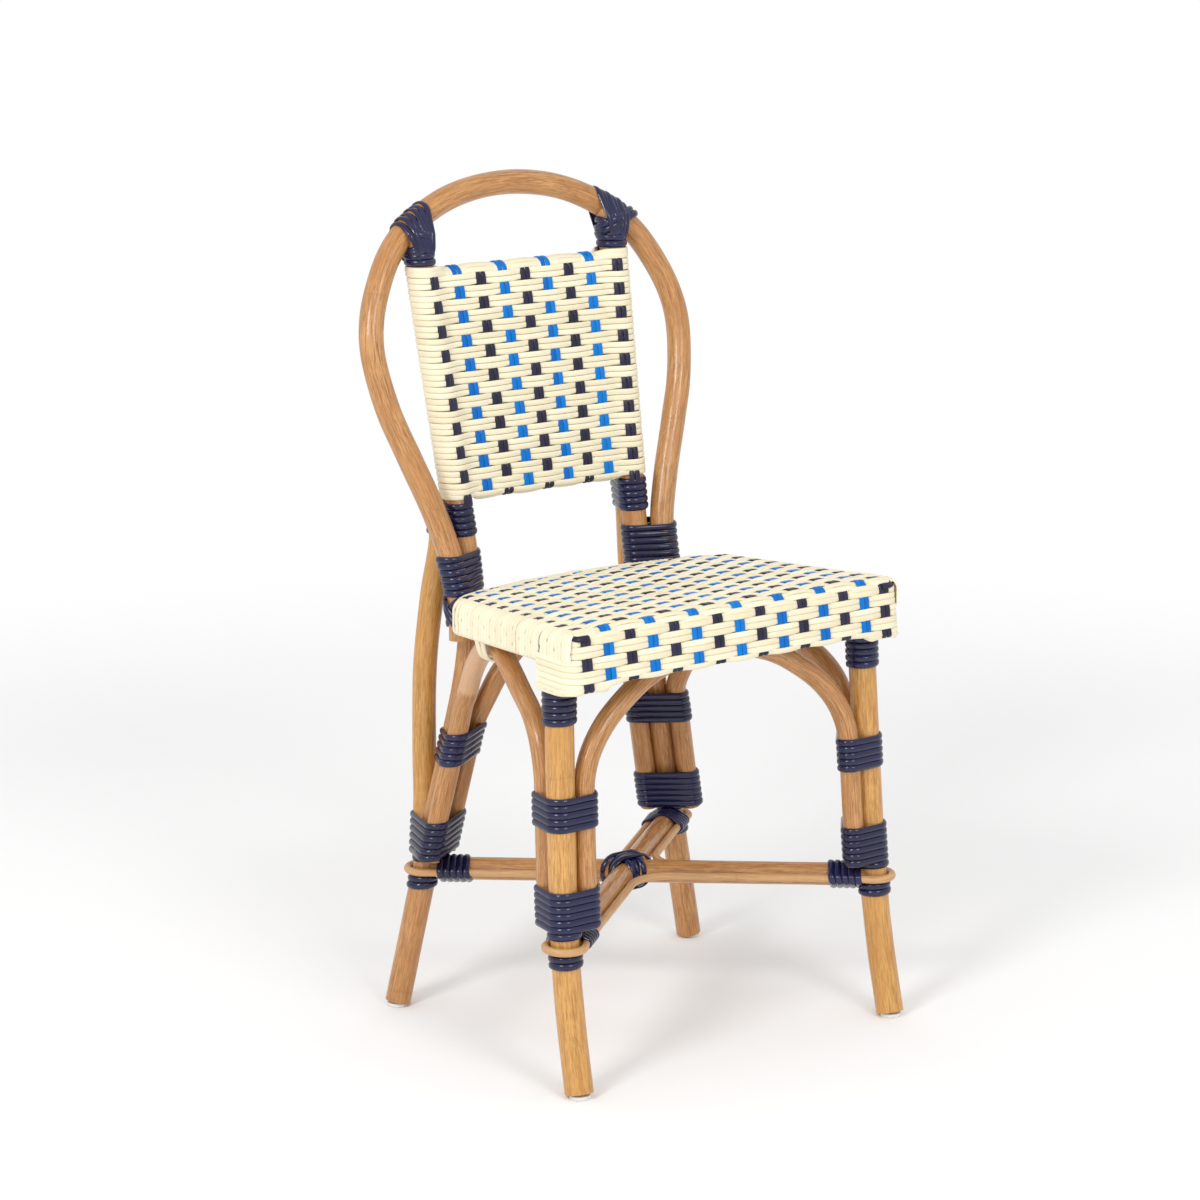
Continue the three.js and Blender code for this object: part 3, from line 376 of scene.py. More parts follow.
def glideMaterial():
    material, tree, shader = newMaterial("paleGlide", 0.35)
    spot = addNode(tree, "ShaderNodeTexCoord")
    mottle = noiseOf(tree, spot.outputs["Object"], 180.0, 2.0)
    color = mixColor(tree, mottle, srgb(214, 216, 216), srgb(236, 236, 232))
    tree.links.new(color, shader.inputs["Base Color"])
    shader.inputs["Subsurface Weight"].default_value = 0.3
    shader.inputs["Subsurface Radius"].default_value = (0.004, 0.004, 0.004)
    return material


paleGlide = glideMaterial()
print("materials made")


def finishPiece(piece, material, nodes):
    # every piece gets its one material, the chair's body and the CAD nodes that it stands for
    piece.data.materials.clear()
    piece.data.materials.append(material)
    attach(piece, "root")
    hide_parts(*nodes)
    bpy.ops.object.select_all(action="DESELECT")
    return piece


def sweepPole(name, line, diameter, step=0.006, closed=False, uvStart=0.0):
    # a round pole along a line; the radius wavers a little, as cane does
    bpy.ops.object.select_all(action="DESELECT")
    points = evenLine(line, step)
    if closed:
        points = points[:-1]
    bpy.ops.curve.primitive_nurbs_path_add()
    pole = bpy.context.object
    pole.name = name
    curve = pole.data
    curve.splines.clear()
    spline = curve.splines.new("POLY")
    spline.points.add(len(points) - 1)
    phase = random.uniform(0, 6)
    for k, (target, point) in enumerate(zip(spline.points, points)):
        target.co = (*point, 1)
        target.radius = (1 + 0.006 * math.sin(phase + k * step * 23)
                         + 0.004 * math.sin(2 * phase + k * step * 71))
    spline.use_cyclic_u = closed
    curve.bevel_depth = diameter / 2000
    curve.bevel_resolution = 8
    curve.use_fill_caps = not closed
    curve.twist_mode = "MINIMUM"
    bpy.ops.object.convert(target="MESH")
    pole = bpy.context.object
    mesh = pole.data
    length = sum((b - a).length for a, b in zip(points, points[1:]))
    for loop in mesh.uv_layers["UVMap"].data:
        loop.uv[0] = uvStart + loop.uv[0] * length
    bpy.ops.object.mode_set(mode="EDIT")
    bpy.ops.mesh.select_all(action="SELECT")
    bpy.ops.mesh.normals_make_consistent(inside=False)
    bpy.ops.object.mode_set(mode="OBJECT")
    bpy.ops.object.shade_smooth_by_angle(angle=math.radians(40))
    return pole


def polePiece(name, line, diameter, node, uvStart, material=honeyPole, slot="honey_pole"):
    return finishPiece(sweepPole(name, line, diameter, uvStart=uvStart), material, [node])


def both(name, line, diameter, node, uvStart, *finish):
    return [polePiece(f"{name}_{side}", onSide(line, side), diameter, f"{node}_{side}", uvStart + shift, *finish)
            for side, shift in (("right", 0), ("left", 0.17))]


leg = {"front": 29, "rear": 27, "foot": 4.3}
palePart = (palePole, "pale_pole")
both("frontLeg", above(frontLegLine, leg["foot"] / 1000), leg["front"], "front_leg", 0.05, *palePart)
hoopPiece = polePiece("backHoop", above(hoopLine, hoop["end"] / 1000), hoop["diameter"], "back_hoop", 0.4)


def notchUpright(piece):
    # the upright's top is hollowed to fit the underside of the hoop
    bpy.context.view_layer.objects.active = piece
    piece.select_set(True)
    notch = piece.modifiers.new("notch", "BOOLEAN")
    notch.operation = "DIFFERENCE"
    notch.object = hoopPiece
    notch.solver = "EXACT"
    bpy.ops.object.modifier_apply(modifier="notch")
    bpy.ops.object.shade_smooth_by_angle(angle=math.radians(40))
    bpy.ops.object.select_all(action="DESELECT")


for upright in both("rearLeg", above(rearLegLine, leg["foot"] / 1000), leg["rear"], "rear_leg", 0.9):
    notchUpright(upright)
both("backStay", stayLine, stay["diameter"], "back_stay", 1.4, *palePart)
archFoot = arch["foot"] / 1000
# the rear limb of a side arch is a paler pole above its joint
paleLimbStart = {"y": 12, "z": 349, "share": 0.7}
for piece in both("sideArch", above(sideArchLine, archFoot), arch["diameter"], "side_arch", 2.1):
    shares = [paleLimbStart["share"] if v.co.y > paleLimbStart["y"] / 1000
              and v.co.z > paleLimbStart["z"] / 1000 else 0.0 for v in piece.data.vertices]
    pale = piece.data.attributes.new("paleness", "FLOAT", "POINT")
    pale.data.foreach_set("value", shares)
polePiece("frontArch", above(frontArchLine, archFoot), arch["diameter"], "front_arch", 2.8)
polePiece("rearArch", above(rearArchLine, archFoot), arch["diameter"], "rear_arch", 3.6)

# stretcher cross, with a cane that runs round both poles
stretcher = {"height": 148, "diameter": 24, "cane": 8, "room": 0.6, "bend": 40, "tieStart": 13.5,
             "caneStart": 25}
frontFoot = atHeight(frontLegLine, stretcher["height"] / 1000)
rearFoot = atHeight(rearLegLine, stretcher["height"] / 1000)
crossShare = frontFoot.x / (frontFoot.x + rearFoot.x)
leftFrontFoot, leftRearFoot = mirrored([frontFoot, rearFoot])
crossPoint = leftFrontFoot.lerp(rearFoot, crossShare)
for name, start, end, node in (("stretcherLeftToRight", leftFrontFoot, rearFoot, "stretcher_left_to_right"),
                               ("stretcherRightToLeft", frontFoot, leftRearFoot, "stretcher_right_to_left")):
    polePiece(name, [start, end], stretcher["diameter"], node, start.x * 9)

caneAway = (stretcher["diameter"] + stretcher["cane"]) / 2 + stretcher["room"]


def flatWay(angle, length):
    return Vector((math.cos(angle), math.sin(angle), 0)) * length / 1000


def roundLeg(foot, legDiameter):
    way = foot - crossPoint
    heading = math.atan2(way.y, way.x)
    away = (legDiameter + stretcher["cane"]) / 2 + 2 * stretcher["room"]
    start = foot + flatWay(heading, 2 - stretcher["caneStart"])
    ends = [start + flatWay(heading + side * math.pi / 2, caneAway) for side in (-1, 1)]
    bend = [foot + flatWay(heading + (k / 12 - 0.5) * math.pi, away) for k in range(13)]
    return [ends[0], *bend, ends[1]]


def innerCorner(before, after):
    half = (after - before) / 2
    inside = crossPoint + flatWay(before + half, (caneAway + stretcher["bend"]) / math.sin(half))
    turns = [before + half + math.pi + (0.5 - k / 12) * (math.pi - 2 * half) for k in range(13)]
    return [inside + flatWay(turn, stretcher["bend"]) for turn in turns]


def caneLine():
    front = math.atan2(frontFoot.y - crossPoint.y, frontFoot.x - crossPoint.x)
    rear = math.atan2(rearFoot.y - crossPoint.y, rearFoot.x - crossPoint.x)
    rearCorner = innerCorner(rear, math.pi - rear)
    frontCorner = innerCorner(-math.pi - front, front)
    right = [*frontCorner[7:], *roundLeg(frontFoot, leg["front"]), *innerCorner(front, rear),
             *roundLeg(rearFoot, leg["rear"]), *rearCorner[:6]]
    return [*mirrored(right)[::-1], frontCorner[6], *right, rearCorner[6], mirrored(right)[-1]]


finishPiece(sweepPole("stretcherCane", caneLine(), stretcher["cane"], 0.003, True, 4.2), peeledCane,
            ["stretcher_cane"])
print("poles made")


# a strand's section as shares of its width and thickness
flatShape = [(-0.47, 0), (0.47, 0), (0.5, 0.42), (0.43, 0.82), (0.2, 1), (-0.2, 1), (-0.43, 0.82),
             (-0.5, 0.42)]
roundShape = [(-0.42, 0), (0.42, 0), (0.5, 0.36), (0.38, 0.76), (0.15, 1), (-0.15, 1), (-0.38, 0.76),
              (-0.5, 0.36)]


def sweepStrands(name, runs, width, thickness, shape=flatShape):
    # each run is a list of (point under the strand, way outward), open or closed
    vertices, faces, uvs, tones = [], [], [], []
    sides = len(shape)
    for run, closed in runs:
        count = len(run)
        first = len(vertices)
        tone = random.random()
        lengths = [0.0]
        for k in range(count):
            lengths.append(lengths[-1] + (run[(k + 1) % count][0] - run[k][0]).length)
        for k, (point, outward) in enumerate(run):
            before = run[k - 1][0] if k or closed else point
            after = run[(k + 1) % count][0] if k + 1 < count or closed else point
            along = (after - before).normalized()
            side = along.cross(outward).normalized()
            up = side.cross(along)
            for across, out in shape:
                vertices.append(point + side * (across * width / 1000) + up * (out * thickness / 1000))
                tones.append(tone)
        shift = tone * 3
        for k in range(count if closed else count - 1):
            a, b = first + k * sides, first + (k + 1) % count * sides
            for s in range(sides):
                t = (s + 1) % sides
                faces.append((a + s, b + s, b + t, a + t))
                low, high = shift + lengths[k], shift + lengths[k + 1]
                near, far = s / sides, (s + 1) / sides
                uvs += [(low, near), (high, near), (high, far), (low, far)]
        if not closed:
            last = first + (count - 1) * sides
            faces.append(tuple(range(first, first + sides)))
            faces.append(tuple(range(last + sides - 1, last - 1, -1)))
            uvs += [(shift, s / sides) for s in range(sides)] * 2
    mesh = bpy.data.meshes.new(name)
    mesh.from_pydata(vertices, [], faces)
    layer = mesh.uv_layers.new(name="UVMap")
    layer.data.foreach_set("uv", [value for uv in uvs for value in uv])
    shade = mesh.attributes.new("tone", "FLOAT", "POINT")
    shade.data.foreach_set("value", tones)
    mesh.update()
    piece = bpy.data.objects.new(name, mesh)
    bpy.context.collection.objects.link(piece)
    bpy.context.view_layer.objects.active = piece
    piece.select_set(True)
    bpy.ops.object.shade_smooth_by_angle(angle=math.radians(55))
    bpy.ops.object.select_all(action="DESELECT")
    return piece


tieStrand = {"width": 7.1, "thickness": 2.9, "pitch": 6.8, "clearance": 0.1, "backRise": 0.7, "tuck": 2.6,
             "lowLoop": 160.5}


def crossingOf(line, point, normal):
    best = None
    for a, b in zip(line, line[1:]):
        one, two = (a - point).dot(normal), (b - point).dot(normal)
        if one * two > 0 or one == two:
            continue
        hit = a.lerp(b, one / (one - two))
        if best is None or (hit - point).length < (best - point).length:
            best = hit
    return best


def sections(bundle, points, normal, extra):
    # where each pole of a bundle passes the two end planes, with its radius
    gap = (tieStrand["clearance"] + extra) / 1000
    pairs = []
    for line, diameter in bundle:
        ends = [crossingOf(line, point, normal) for point in points]
        if all(ends):
            pairs.append((ends[0], ends[1], diameter / 2000 + gap, line))
    return pairs


def windTie(bundle, start, end, turns, front, startAngle=0.6):
    # one strand wound round a bundle of (line, diameter), from start to end of a straight axis,
    # with both its ends tucked in
    steps = chair["turnSteps"]
    normal = (end - start).normalized()
    first = (front - normal * front.dot(normal)).normalized()
    second = normal.cross(first)
    pairs = sections(bundle, (start, end), normal, 0)
    run = []
    total = int(turns * steps)
    for k in range(total + 1):
        angle = 2 * math.pi * (k / steps + startAngle)
        lag = tieStrand["backRise"] * math.sin(angle) / (2 * math.pi)
        share = (k / steps + startAngle - 0.5 - lag) / turns
        way = first * math.cos(angle) + second * math.sin(angle)
        middle = start.lerp(end, share)
        found = [(crossingOf(line, middle, normal) or a.lerp(b, share), radius)
                 for a, b, radius, line in pairs]
        centre, radius = max(found, key=lambda item: item[0].dot(way) + item[1])
        point = centre + way * radius
        point -= way * tieStrand["tuck"] / 1000 * (blend(-k, -3, 0) + blend(k, total - 3, total))
        run.append((point, way))
    return run


def loopTie(bundle, centre, normal, front, tilt=0.0, extra=0.0, also=()):
    # a closed turn round a bundle, tilted up at the front and down at the back
    steps = chair["turnSteps"]
    first = (front - normal * front.dot(normal)).normalized()
    second = normal.cross(first)
    pairs = sections(bundle, (centre, centre), normal, extra)
    for point, radius in also:
        flat = point - normal * (point - centre).dot(normal)
        pairs.append((flat, flat, (radius + extra) / 1000, None))
    run = []
    for k in range(steps):
        angle = 2 * math.pi * k / steps
        way = first * math.cos(angle) + second * math.sin(angle)
        middle, _, radius, _ = max(pairs, key=lambda item: item[0].dot(way) + item[2])
        run.append((middle + way * radius + normal * (tilt * math.cos(angle) / 1000), way))
    return run


def climbing(line, low, turns):
    # a straight axis, from half a strand under the first turn to half a strand over the last
    foot = atHeight(line, low / 1000)
    return foot, foot + Vector((0, 0, turns * tieStrand["pitch"] / 1000))


def tiePiece(name, runs, node, material=None):
    piece = sweepStrands(name, runs, tieStrand["width"], tieStrand["thickness"], roundShape)
    return finishPiece(piece, material or navyTie, [node])


def sided(bundle, side):
    return [(onSide(line, side), diameter) for line, diameter in bundle]


upward, forward = Vector((0, 0, 1)), Vector((0, -1, 0))


def pairOfTies(name, bundle, axis, turns, node):
    for side, _ in bothSides:
        poles = sided(bundle, side)
        runs = [(windTie(poles, *onSide(axis, side), turns, forward), False)]
        if node in ("tie_front_low", "tie_rear_low"):
            # one more turn, round the leg alone
            low = atHeight(poles[0][0], tieStrand["lowLoop"] / 1000)
            runs.append((loopTie(poles[:1], low, upward, forward, 1.2), True))
        tiePiece(f"{name}_{side}", runs, f"{node}_{side}")


frontBundle = [(frontLegLine, leg["front"]), (frontArchLine, arch["diameter"]),
               (sideArchLine, arch["diameter"])]
rearBundle = [(rearLegLine, leg["rear"]), (rearArchLine, arch["diameter"]), (sideArchLine, arch["diameter"])]
hoopBundle = [(rearLegLine, leg["rear"]), (hoopLine, hoop["diameter"])]
# the stay's line goes on a little, so that the low tie takes in its scarf
stayBundle = [(rearLegLine, leg["rear"]), (stayLine + [stayLine[-1] * 2 - stayLine[-4]], stay["diameter"])]
# name, bundle, leg, start height, turns and node
ties = [
    ("tieFrontLow", frontBundle, frontLegLine, 165, 6, "tie_front_low"),
    ("tieFrontMiddle", frontBundle, frontLegLine, 266, 5, "tie_front_middle"),
    ("tieFrontTop", frontBundle[:1], frontLegLine, 372, 5, "tie_front_top"),
    ("tieRearLow", rearBundle + stayBundle[1:], rearLegLine, 165, 6, "tie_rear_low"),
    ("tieRearMiddle", rearBundle, rearLegLine, 266, 5, "tie_rear_middle"),
    ("tieHoopFoot", hoopBundle, rearLegLine, 444.5, 6, "tie_hoop_foot"),
    ("tiePanelFoot", stayBundle, rearLegLine, 500.5, 5, "tie_panel_foot"),
    ("collarFront", frontBundle[:1], frontLegLine, 129.1, 2, "collar_front"),
    ("collarRear", rearBundle[:1], rearLegLine, 129.1, 2, "collar_rear"),
]
for name, bundle, line, low, turns, node in ties:
    pairOfTies(name, bundle, climbing(line, low, turns), turns, node)


crossedTie = {"height": 427, "shifts": (-3.3, 3.3), "tilts": ((15, 0), (-15, 2.4))}


def crossedTies():
    # crossed turns round the ends of the hoop, under the straight ones
    for side, _ in bothSides:
        bundle = sided(hoopBundle, side)
        runs = []
        for shift in crossedTie["shifts"]:
            for tilt, extra in crossedTie["tilts"]:
                centre = atHeight(bundle[0][0], (crossedTie["height"] + shift) / 1000)
                runs.append((loopTie(bundle, centre, upward, forward, tilt, extra), True))
        tiePiece(f"tieHoopEnd_{side}", runs, f"tie_hoop_end_{side}")


crossedTies()


def nearestOn(line, target):
    k = min(range(1, len(line) - 1), key=lambda n: (line[n] - target).length)
    return line[k], (line[k + 1] - line[k - 1]).normalized()


# the loops over the hoop fan out from a knot on the upright and take in the upright's head
topTie = {"joint": (125, 192, 816), "knot": 752, "heads": (796, 806), "headRadius": 14, "loops": 6,
          "spread": 6.4, "middle": 2.6, "slant": 0.62, "slantStart": 15, "slantPitch": 6.6,
          "upright": [(780.6, 0), (787.2, 0.6), (793.6, 3.4), (799, 7)]}


def hoopTopTies():
    # turns over the hoop, slanting ones over the joint and a few round the upright
    for side, mirror in bothSides:
        middle, along = nearestOn(hoopLine, onSide([place(*topTie["joint"])], side)[0])
        along = along if along.z > 0 else -along
        upright = onSide(rearLegLine, side)
        hoopPole, uprightPole = (hoopLine, hoop["diameter"]), (upright, leg["rear"])
        runs = []
        up = (upright[-1] - upright[-8]).normalized()
        knot = atHeight(upright, topTie["knot"] / 1000)
        heads = [(atHeight(upright, height / 1000), topTie["headRadius"]) for height in topTie["heads"]]
        for k in range(topTie["loops"]):
            centre = middle + along * ((k - topTie["middle"]) * topTie["spread"] / 1000)
            normal = (knot - centre).cross(forward).normalized()
            normal = normal if normal.dot(along) > 0 else -normal
            runs.append((loopTie([hoopPole], centre, normal, forward, 1.2, k % 2 * 0.7, heads), True))
        slant = (along * topTie["slant"] + up).normalized()
        # the photo shows two slanting turns on the right and one on the left
        bundle, count = ([hoopPole, uprightPole], 2) if side == "right" else ([uprightPole], 1)
        for k in range(count):
            centre = middle - up * ((topTie["slantStart"] + topTie["slantPitch"] * k) / 1000)
            runs.append((loopTie(bundle, centre, slant, forward, 2, 2.4), True))
        tiePiece(f"tieHoopTop_{side}", runs, f"tie_hoop_top_{side}")
        inner = Vector((-mirror, 0, 0))
        runs = [(loopTie([uprightPole], atHeight(upright, z / 1000), upward, inner, tilt, 0.3), True)
                for z, tilt in topTie["upright"]]
        tiePiece(f"tieUprightTop_{side}", runs, f"tie_upright_top_{side}")


hoopTopTies()


crossTie = {"turns": 5, "room": 3, "offset": 5, "loops": (-1.5, -0.5, 0.5, 1.5),
            "layers": ((Vector((1, 0, 0)), 0), (Vector((0, 1, 0)), 2.4))}


def stretcherTies():
    # a winding at each end, and two crossed layers of loops where the stretchers cross
    for end, foot in (("front", frontFoot), ("rear", rearFoot)):
        for side, _ in bothSides:
            here = onSide([foot], side)[0]
            way = (crossPoint - here).normalized()
            beyond = way.cross(Vector((0, 0, 1))) * caneAway / 1000
            far = crossPoint * 2 - here
            bundle = [([here, far], stretcher["diameter"])]
            bundle += [([here + aside, far + aside], stretcher["cane"]) for aside in (beyond, -beyond)]
            start = here + way * stretcher["tieStart"] / 1000
            finish = start + way * crossTie["turns"] * tieStrand["pitch"] / 1000
            run = windTie(bundle, start, finish, crossTie["turns"], upward, 0.5)
            tiePiece(f"tieStretcher_{end}_{side}", [(run, False)], f"tie_stretcher_{end}_{side}")
    bundle = [([leftFrontFoot, rearFoot], stretcher["diameter"] + crossTie["room"]),
              ([frontFoot, leftRearFoot], stretcher["diameter"] + crossTie["room"])]
    runs = []
    for axis, extra in crossTie["layers"]:
        for k in crossTie["loops"]:
            centre = crossPoint + axis * (k * crossTie["offset"] / 1000)
            runs.append((loopTie(bundle, centre, axis, upward, 0, extra + 0.4 * abs(k)), True))
    tiePiece("tieStretcherCross", runs, "tie_stretcher_cross")


stretcherTies()

archTie = {"loops": ((-3, 3), (-13, -5)),
           "route": [(186, 444), (185.5, 433), (181, 418), (173, 404.5), (161, 400.4), (151.5, 405),
                     (148.3, 416), (149, 430), (153, 438)]}


def archTies():
    # two cream loops that hang from the side of the seat and hold the arch
    for side, mirror in bothSides:
        runs = []
        for topY, lowY in archTie["loops"]:
            points = []
            for x, z in archTie["route"]:
                share = blend(z, 403, 432)
                points.append(place(x * mirror, lowY + (topY - lowY) * share, z))
            line = evenLine(smoothLine(points), 0.002)
            run = []
            for k, point in enumerate(line):
                along = (line[min(k + 1, len(line) - 1)] - line[max(k - 1, 0)]).normalized()
                way = along.cross(Vector((0, 1, 0))) * mirror
                way = (way - along * way.dot(along)).normalized()
                run.append((point, way))
            runs.append((run, False))
        tiePiece(f"tieSideArch_{side}", runs, f"tie_side_arch_{side}", creamStrand)


archTies()


glidePad = {"radius": 10.9, "depth": 4, "rim": 0.8, "front": (202.2, -200), "rear": (195.8, 137)}


def glides():
    for end in ("front", "rear"):
        x, y = glidePad[end]
        for side, mirror in bothSides:
            bpy.ops.mesh.primitive_cylinder_add(vertices=40, radius=glidePad["radius"] / 1000,
                                                depth=glidePad["depth"] / 1000,
                                                location=place(x * mirror, y, glidePad["depth"] / 2))
            glide = bpy.context.object
            glide.name = f"glide_{end}_{side}Pad"
            rim = glide.modifiers.new("rim", "BEVEL")
            rim.width = glidePad["rim"] / 1000
            rim.segments = 3
            bpy.ops.object.modifier_apply(modifier="rim")
            bpy.ops.object.transform_apply(location=True, rotation=True, scale=True)
            bpy.ops.object.shade_smooth_by_angle(angle=math.radians(40))
            finishPiece(glide, paleGlide, [f"glide_{end}_{side}"])


glides()
print("ties made")


seat = {"level": 472, "fall": 18 / 298.5, "front": -201.5, "rear": 97, "half": 212, "sideHalf": 214,
        "taper": 36 / 298.5, "blockEnd": -141.5, "blockStep": 6, "corner": 18, "edge": 14, "lean": 6, "foot": 4,
        "frontBottom": 414, "cornerBottom": 408.5, "cornerStart": 163, "sideDepth": 38, "frontLip": 34,
        "sideLip": 12, "rearLip": 20, "inset": 20.7, "rearStart": 20, "sideFoot": 6, "blockStop": 436,
        "lastSideRow": 18, "cornerStrand": (-19.5, 186, 207), "blockInsets": (3.2, 9.2),
        "blockStrand": (-192, -180, -165, -150, -141), "blockSide": (-170, -155, -143, -137),
        "tuckAbove": 443, "legBelow": 430, "legRing": 15.2, "legAngles": (38, 60, 82, 104, 128, 150, 175),
        "underFrom": -80, "underReach": 203, "underEnd": -104.0,
        "rearOutline": [(1, 0), (0.987, 0.26), (0.95, 0.416), (0.881, 0.584), (0.8, 0.688), (0.705, 0.753),
                        (0.534, 0.864), (0.32, 0.955), (0.11, 0.995)],
        "rows": 23, "rowPitch": 12.1, "rowStart": -177, "strandGap": 6.05, "firstPitch": 27.05,
        "pitchFall": 0.01729, "frontSteps": [0, 12.1, 21.6, 33.6, 46, 58.2, 70.4, 82.5, 94.6], "columns": 15}
# widths and thicknesses of the strands, and how deep they lie under the seat's skin
weave = {"cream": (6.1, 2.0), "color": (6.1, 1.8), "creamRest": -3.5, "creamSwing": 1.2, "colorRest": -3.4,
         "colorSwing": 0.75, "wrap": -2.4, "pair": 3.05, "step": 3.4}


def wave(phase):
    # over at even phases and under at odd ones, with flat tops
    value = math.cos(math.pi * phase)
    return value * (1.5 - 0.5 * value * value)


def seatLevel(y):
    return seat["level"] - seat["fall"] * (y - seat["front"])


def sideHalf(y):
    return seat["sideHalf"] - seat["taper"] * (y - seat["front"])


def arcPoints(centre, radius, start, end, count=8):
    angles = [math.radians(start + (end - start) * k / count) for k in range(count + 1)]
    return [Vector((centre[0] + radius * math.cos(a), centre[1] + radius * math.sin(a), 0)) for a in angles]


def rearShape(inset):
    half = sideHalf(seat["rearStart"]) - inset
    depth = seat["rear"] - inset - seat["rearStart"]
    return [Vector((half * out, seat["rearStart"] + depth * back, 0)) for out, back in seat["rearOutline"]]


def seatOutline():
    # right half from the middle of the front round to the middle of the rear, in millimetres
    half, front, corner = seat["half"], seat["front"], seat["corner"]
    line = [Vector((0, front, 0)), *arcPoints((half - corner, front + corner), corner, -90, 0)]
    stepEnd = seat["blockEnd"] + seat["blockStep"]
    line += [Vector((half, seat["blockEnd"], 0)), Vector((sideHalf(stepEnd), stepEnd, 0))]
    rear = rearShape(0)
    line += smoothLine([*rear, Vector((-rear[-1].x, rear[-1].y, 0))], 8)
    line = [p for p in line if p.x >= 0] + [Vector((0, rear[-1].y, 0))]
    return evenLine(line, 2)


outline = seatOutline()


def outlineNormal(k):
    way = outline[min(k + 4, len(outline) - 1)] - outline[max(k - 4, 0)]
    if k + 4 >= len(outline):
        way = Vector((-1, 0, 0))
    return Vector((way.y, -way.x, 0)).normalized()


def profileLine(bottom):
    # side view of the seat from rear to front, down the front face and under it, with its first row's index
    edge, lean, foot = seat["edge"], seat["lean"], seat["foot"]
    back = seat["front"] + lean + edge
    top = seatLevel(back)
    line = [Vector((130, seatLevel(130), 0))]
    line += arcPoints((back, top - edge), edge, 90, 180)
    line += arcPoints((seat["front"] + foot, bottom + foot), foot, 180, 270, 4)
    lipEnd = seat["front"] + seat["frontLip"]
    line += [Vector((lipEnd, bottom, 0)), Vector((lipEnd, bottom + 14, 0))]
    line = evenLine(line, 0.5)
    start = min(range(len(line)), key=lambda k: abs(line[k].x - seat["rowStart"]) + (line[k].y < 460) * 99)
    return line, start


profiles = [profileLine(seat["frontBottom"]), profileLine(seat["cornerBottom"])]


def seatSpot(s, x):
    # y, z and outward way at a distance s along the side view, measured from the first row
    spots = []
    for line, start in profiles:
        k = min(max(start - s * 2, 3), len(line) - 4)
        low = int(k)
        point = line[low].lerp(line[low + 1], k - low)
        way = line[low + 3] - line[low - 3]
        spots.append((point, Vector((way.y, -way.x, 0)).normalized()))
    share = blend(abs(x), seat["cornerStart"] - 7, seat["cornerStart"] + 7)
    point = spots[0][0].lerp(spots[1][0], share)
    normal = spots[0][1].lerp(spots[1][1], share).normalized()
    return point.x, point.y, normal.x, normal.y


def rowSpot(row):
    return row * seat["rowPitch"] if row >= 0 else -seat["frontSteps"][-row]


def rowPhase(s):
    if s >= 0:
        return s / seat["rowPitch"]
    steps = seat["frontSteps"]
    for k in range(len(steps) - 1):
        if -s <= steps[k + 1]:
            return -(k + (-s - steps[k]) / (steps[k + 1] - steps[k]))
    return -(len(steps) - 1) - (-s - steps[-1]) / seat["rowPitch"]


def columnPitch(y):
    return min(seat["firstPitch"] - seat["pitchFall"] * (y + 164.5), 27)


def onSeat(x, s, depth):
    # the weave is a little crowned, most of all along the front
    y, z, wayY, wayZ = seatSpot(s, x)
    crown = 2.1 + 1.1 * blend(-s, -90, -10)
    crown *= blend(-abs(x), -196, -150) * blend(s, -24, -2) * blend(-y, -90, -40)
    return place(x, y + wayY * depth, z + crown + wayZ * depth), Vector((0, wayY, wayZ))


def creamDepth(x, y, row):
    last = (seat["columns"] - 1) / 2
    phase = x / columnPitch(y)
    rest = weave["creamRest"] - weave["creamSwing"] * wave(phase + last + row)
    return rest + (weave["wrap"] - rest) * blend(abs(phase), last + 0.26, last + 0.6)


def rimPoints(k, lip, stop=None, start=15):
    # from the top over the edge and down the outside, square to the outline, then under the lip
    edge, foot, depth = seat["edge"], seat["sideFoot"], weave["wrap"]
    at, normal = outline[k], outlineNormal(k)
    top = seatLevel(at.y)
    shape = [(start, 0, 0, 1)]
    shape += [(edge - edge * math.sin(a), edge - edge * math.cos(a), math.sin(a), math.cos(a))
              for a in (math.pi / 2 * t / 7 for t in range(8))]
    steps = [edge + (seat["sideDepth"] - foot - edge) * t / 10 for t in range(1, 11)]
    shape += [(0, drop, 1, 0) for drop in steps]
    if stop is not None:
        shape = [spot for spot in shape if top - spot[1] > stop]
    else:
        low = seat["sideDepth"]
        shape += [(foot - foot * math.cos(a), low - foot + foot * math.sin(a), math.cos(a), -math.sin(a))
                  for a in (math.pi / 2 * t / 4 for t in range(1, 5))]
        shape += [(lip * t / 3, low, 0, -1) for t in (2, 3)]
        shape += [(lip + 1.5, low - rise, -1, 0) for rise in (4, 9)]
    run = []
    for inset, drop, out, up in shape:
        y = at.y - normal.y * inset
        level = top if inset == 0 else seatLevel(y)
        way = Vector((normal.x * out, normal.y * out, up))
        point = Vector((at.x - normal.x * inset, y, level - drop)) + way * depth
        run.append((place(*point), way))
    return run


slit = {"drops": ((17, 32), (9, 25)), "long": 2, "part": 1.15}


def slitted(run, row, pair):
    # the wraps part a little in places, so that small slits show between pairs
    gap = row if pair > 0 else row - 1
    drops = slit["drops"][gap % 2]
    top = run[0][0].z
    moved = []
    for point, way in run:
        drop = (top - point.z) * 1000
        part = sum(math.exp(-((drop - at) / slit["long"]) ** 2) for at in drops)
        moved.append((point + Vector((-way.y, way.x, 0)) * (-pair * slit["part"] * part / 1000), way))
    return moved


def mirrorRun(run):
    return [(Vector((-p.x, p.y, p.z)), Vector((-w.x, w.y, w.z))) for p, w in run][::-1]


def outlineAt(y):
    # the outline index on the side where the given row leaves the seat
    def miss(k):
        return abs(outline[k].y - outlineNormal(k).y * seat["edge"] - y) + (outline[k].x < 150) * 500
    return min(range(len(outline)), key=miss)


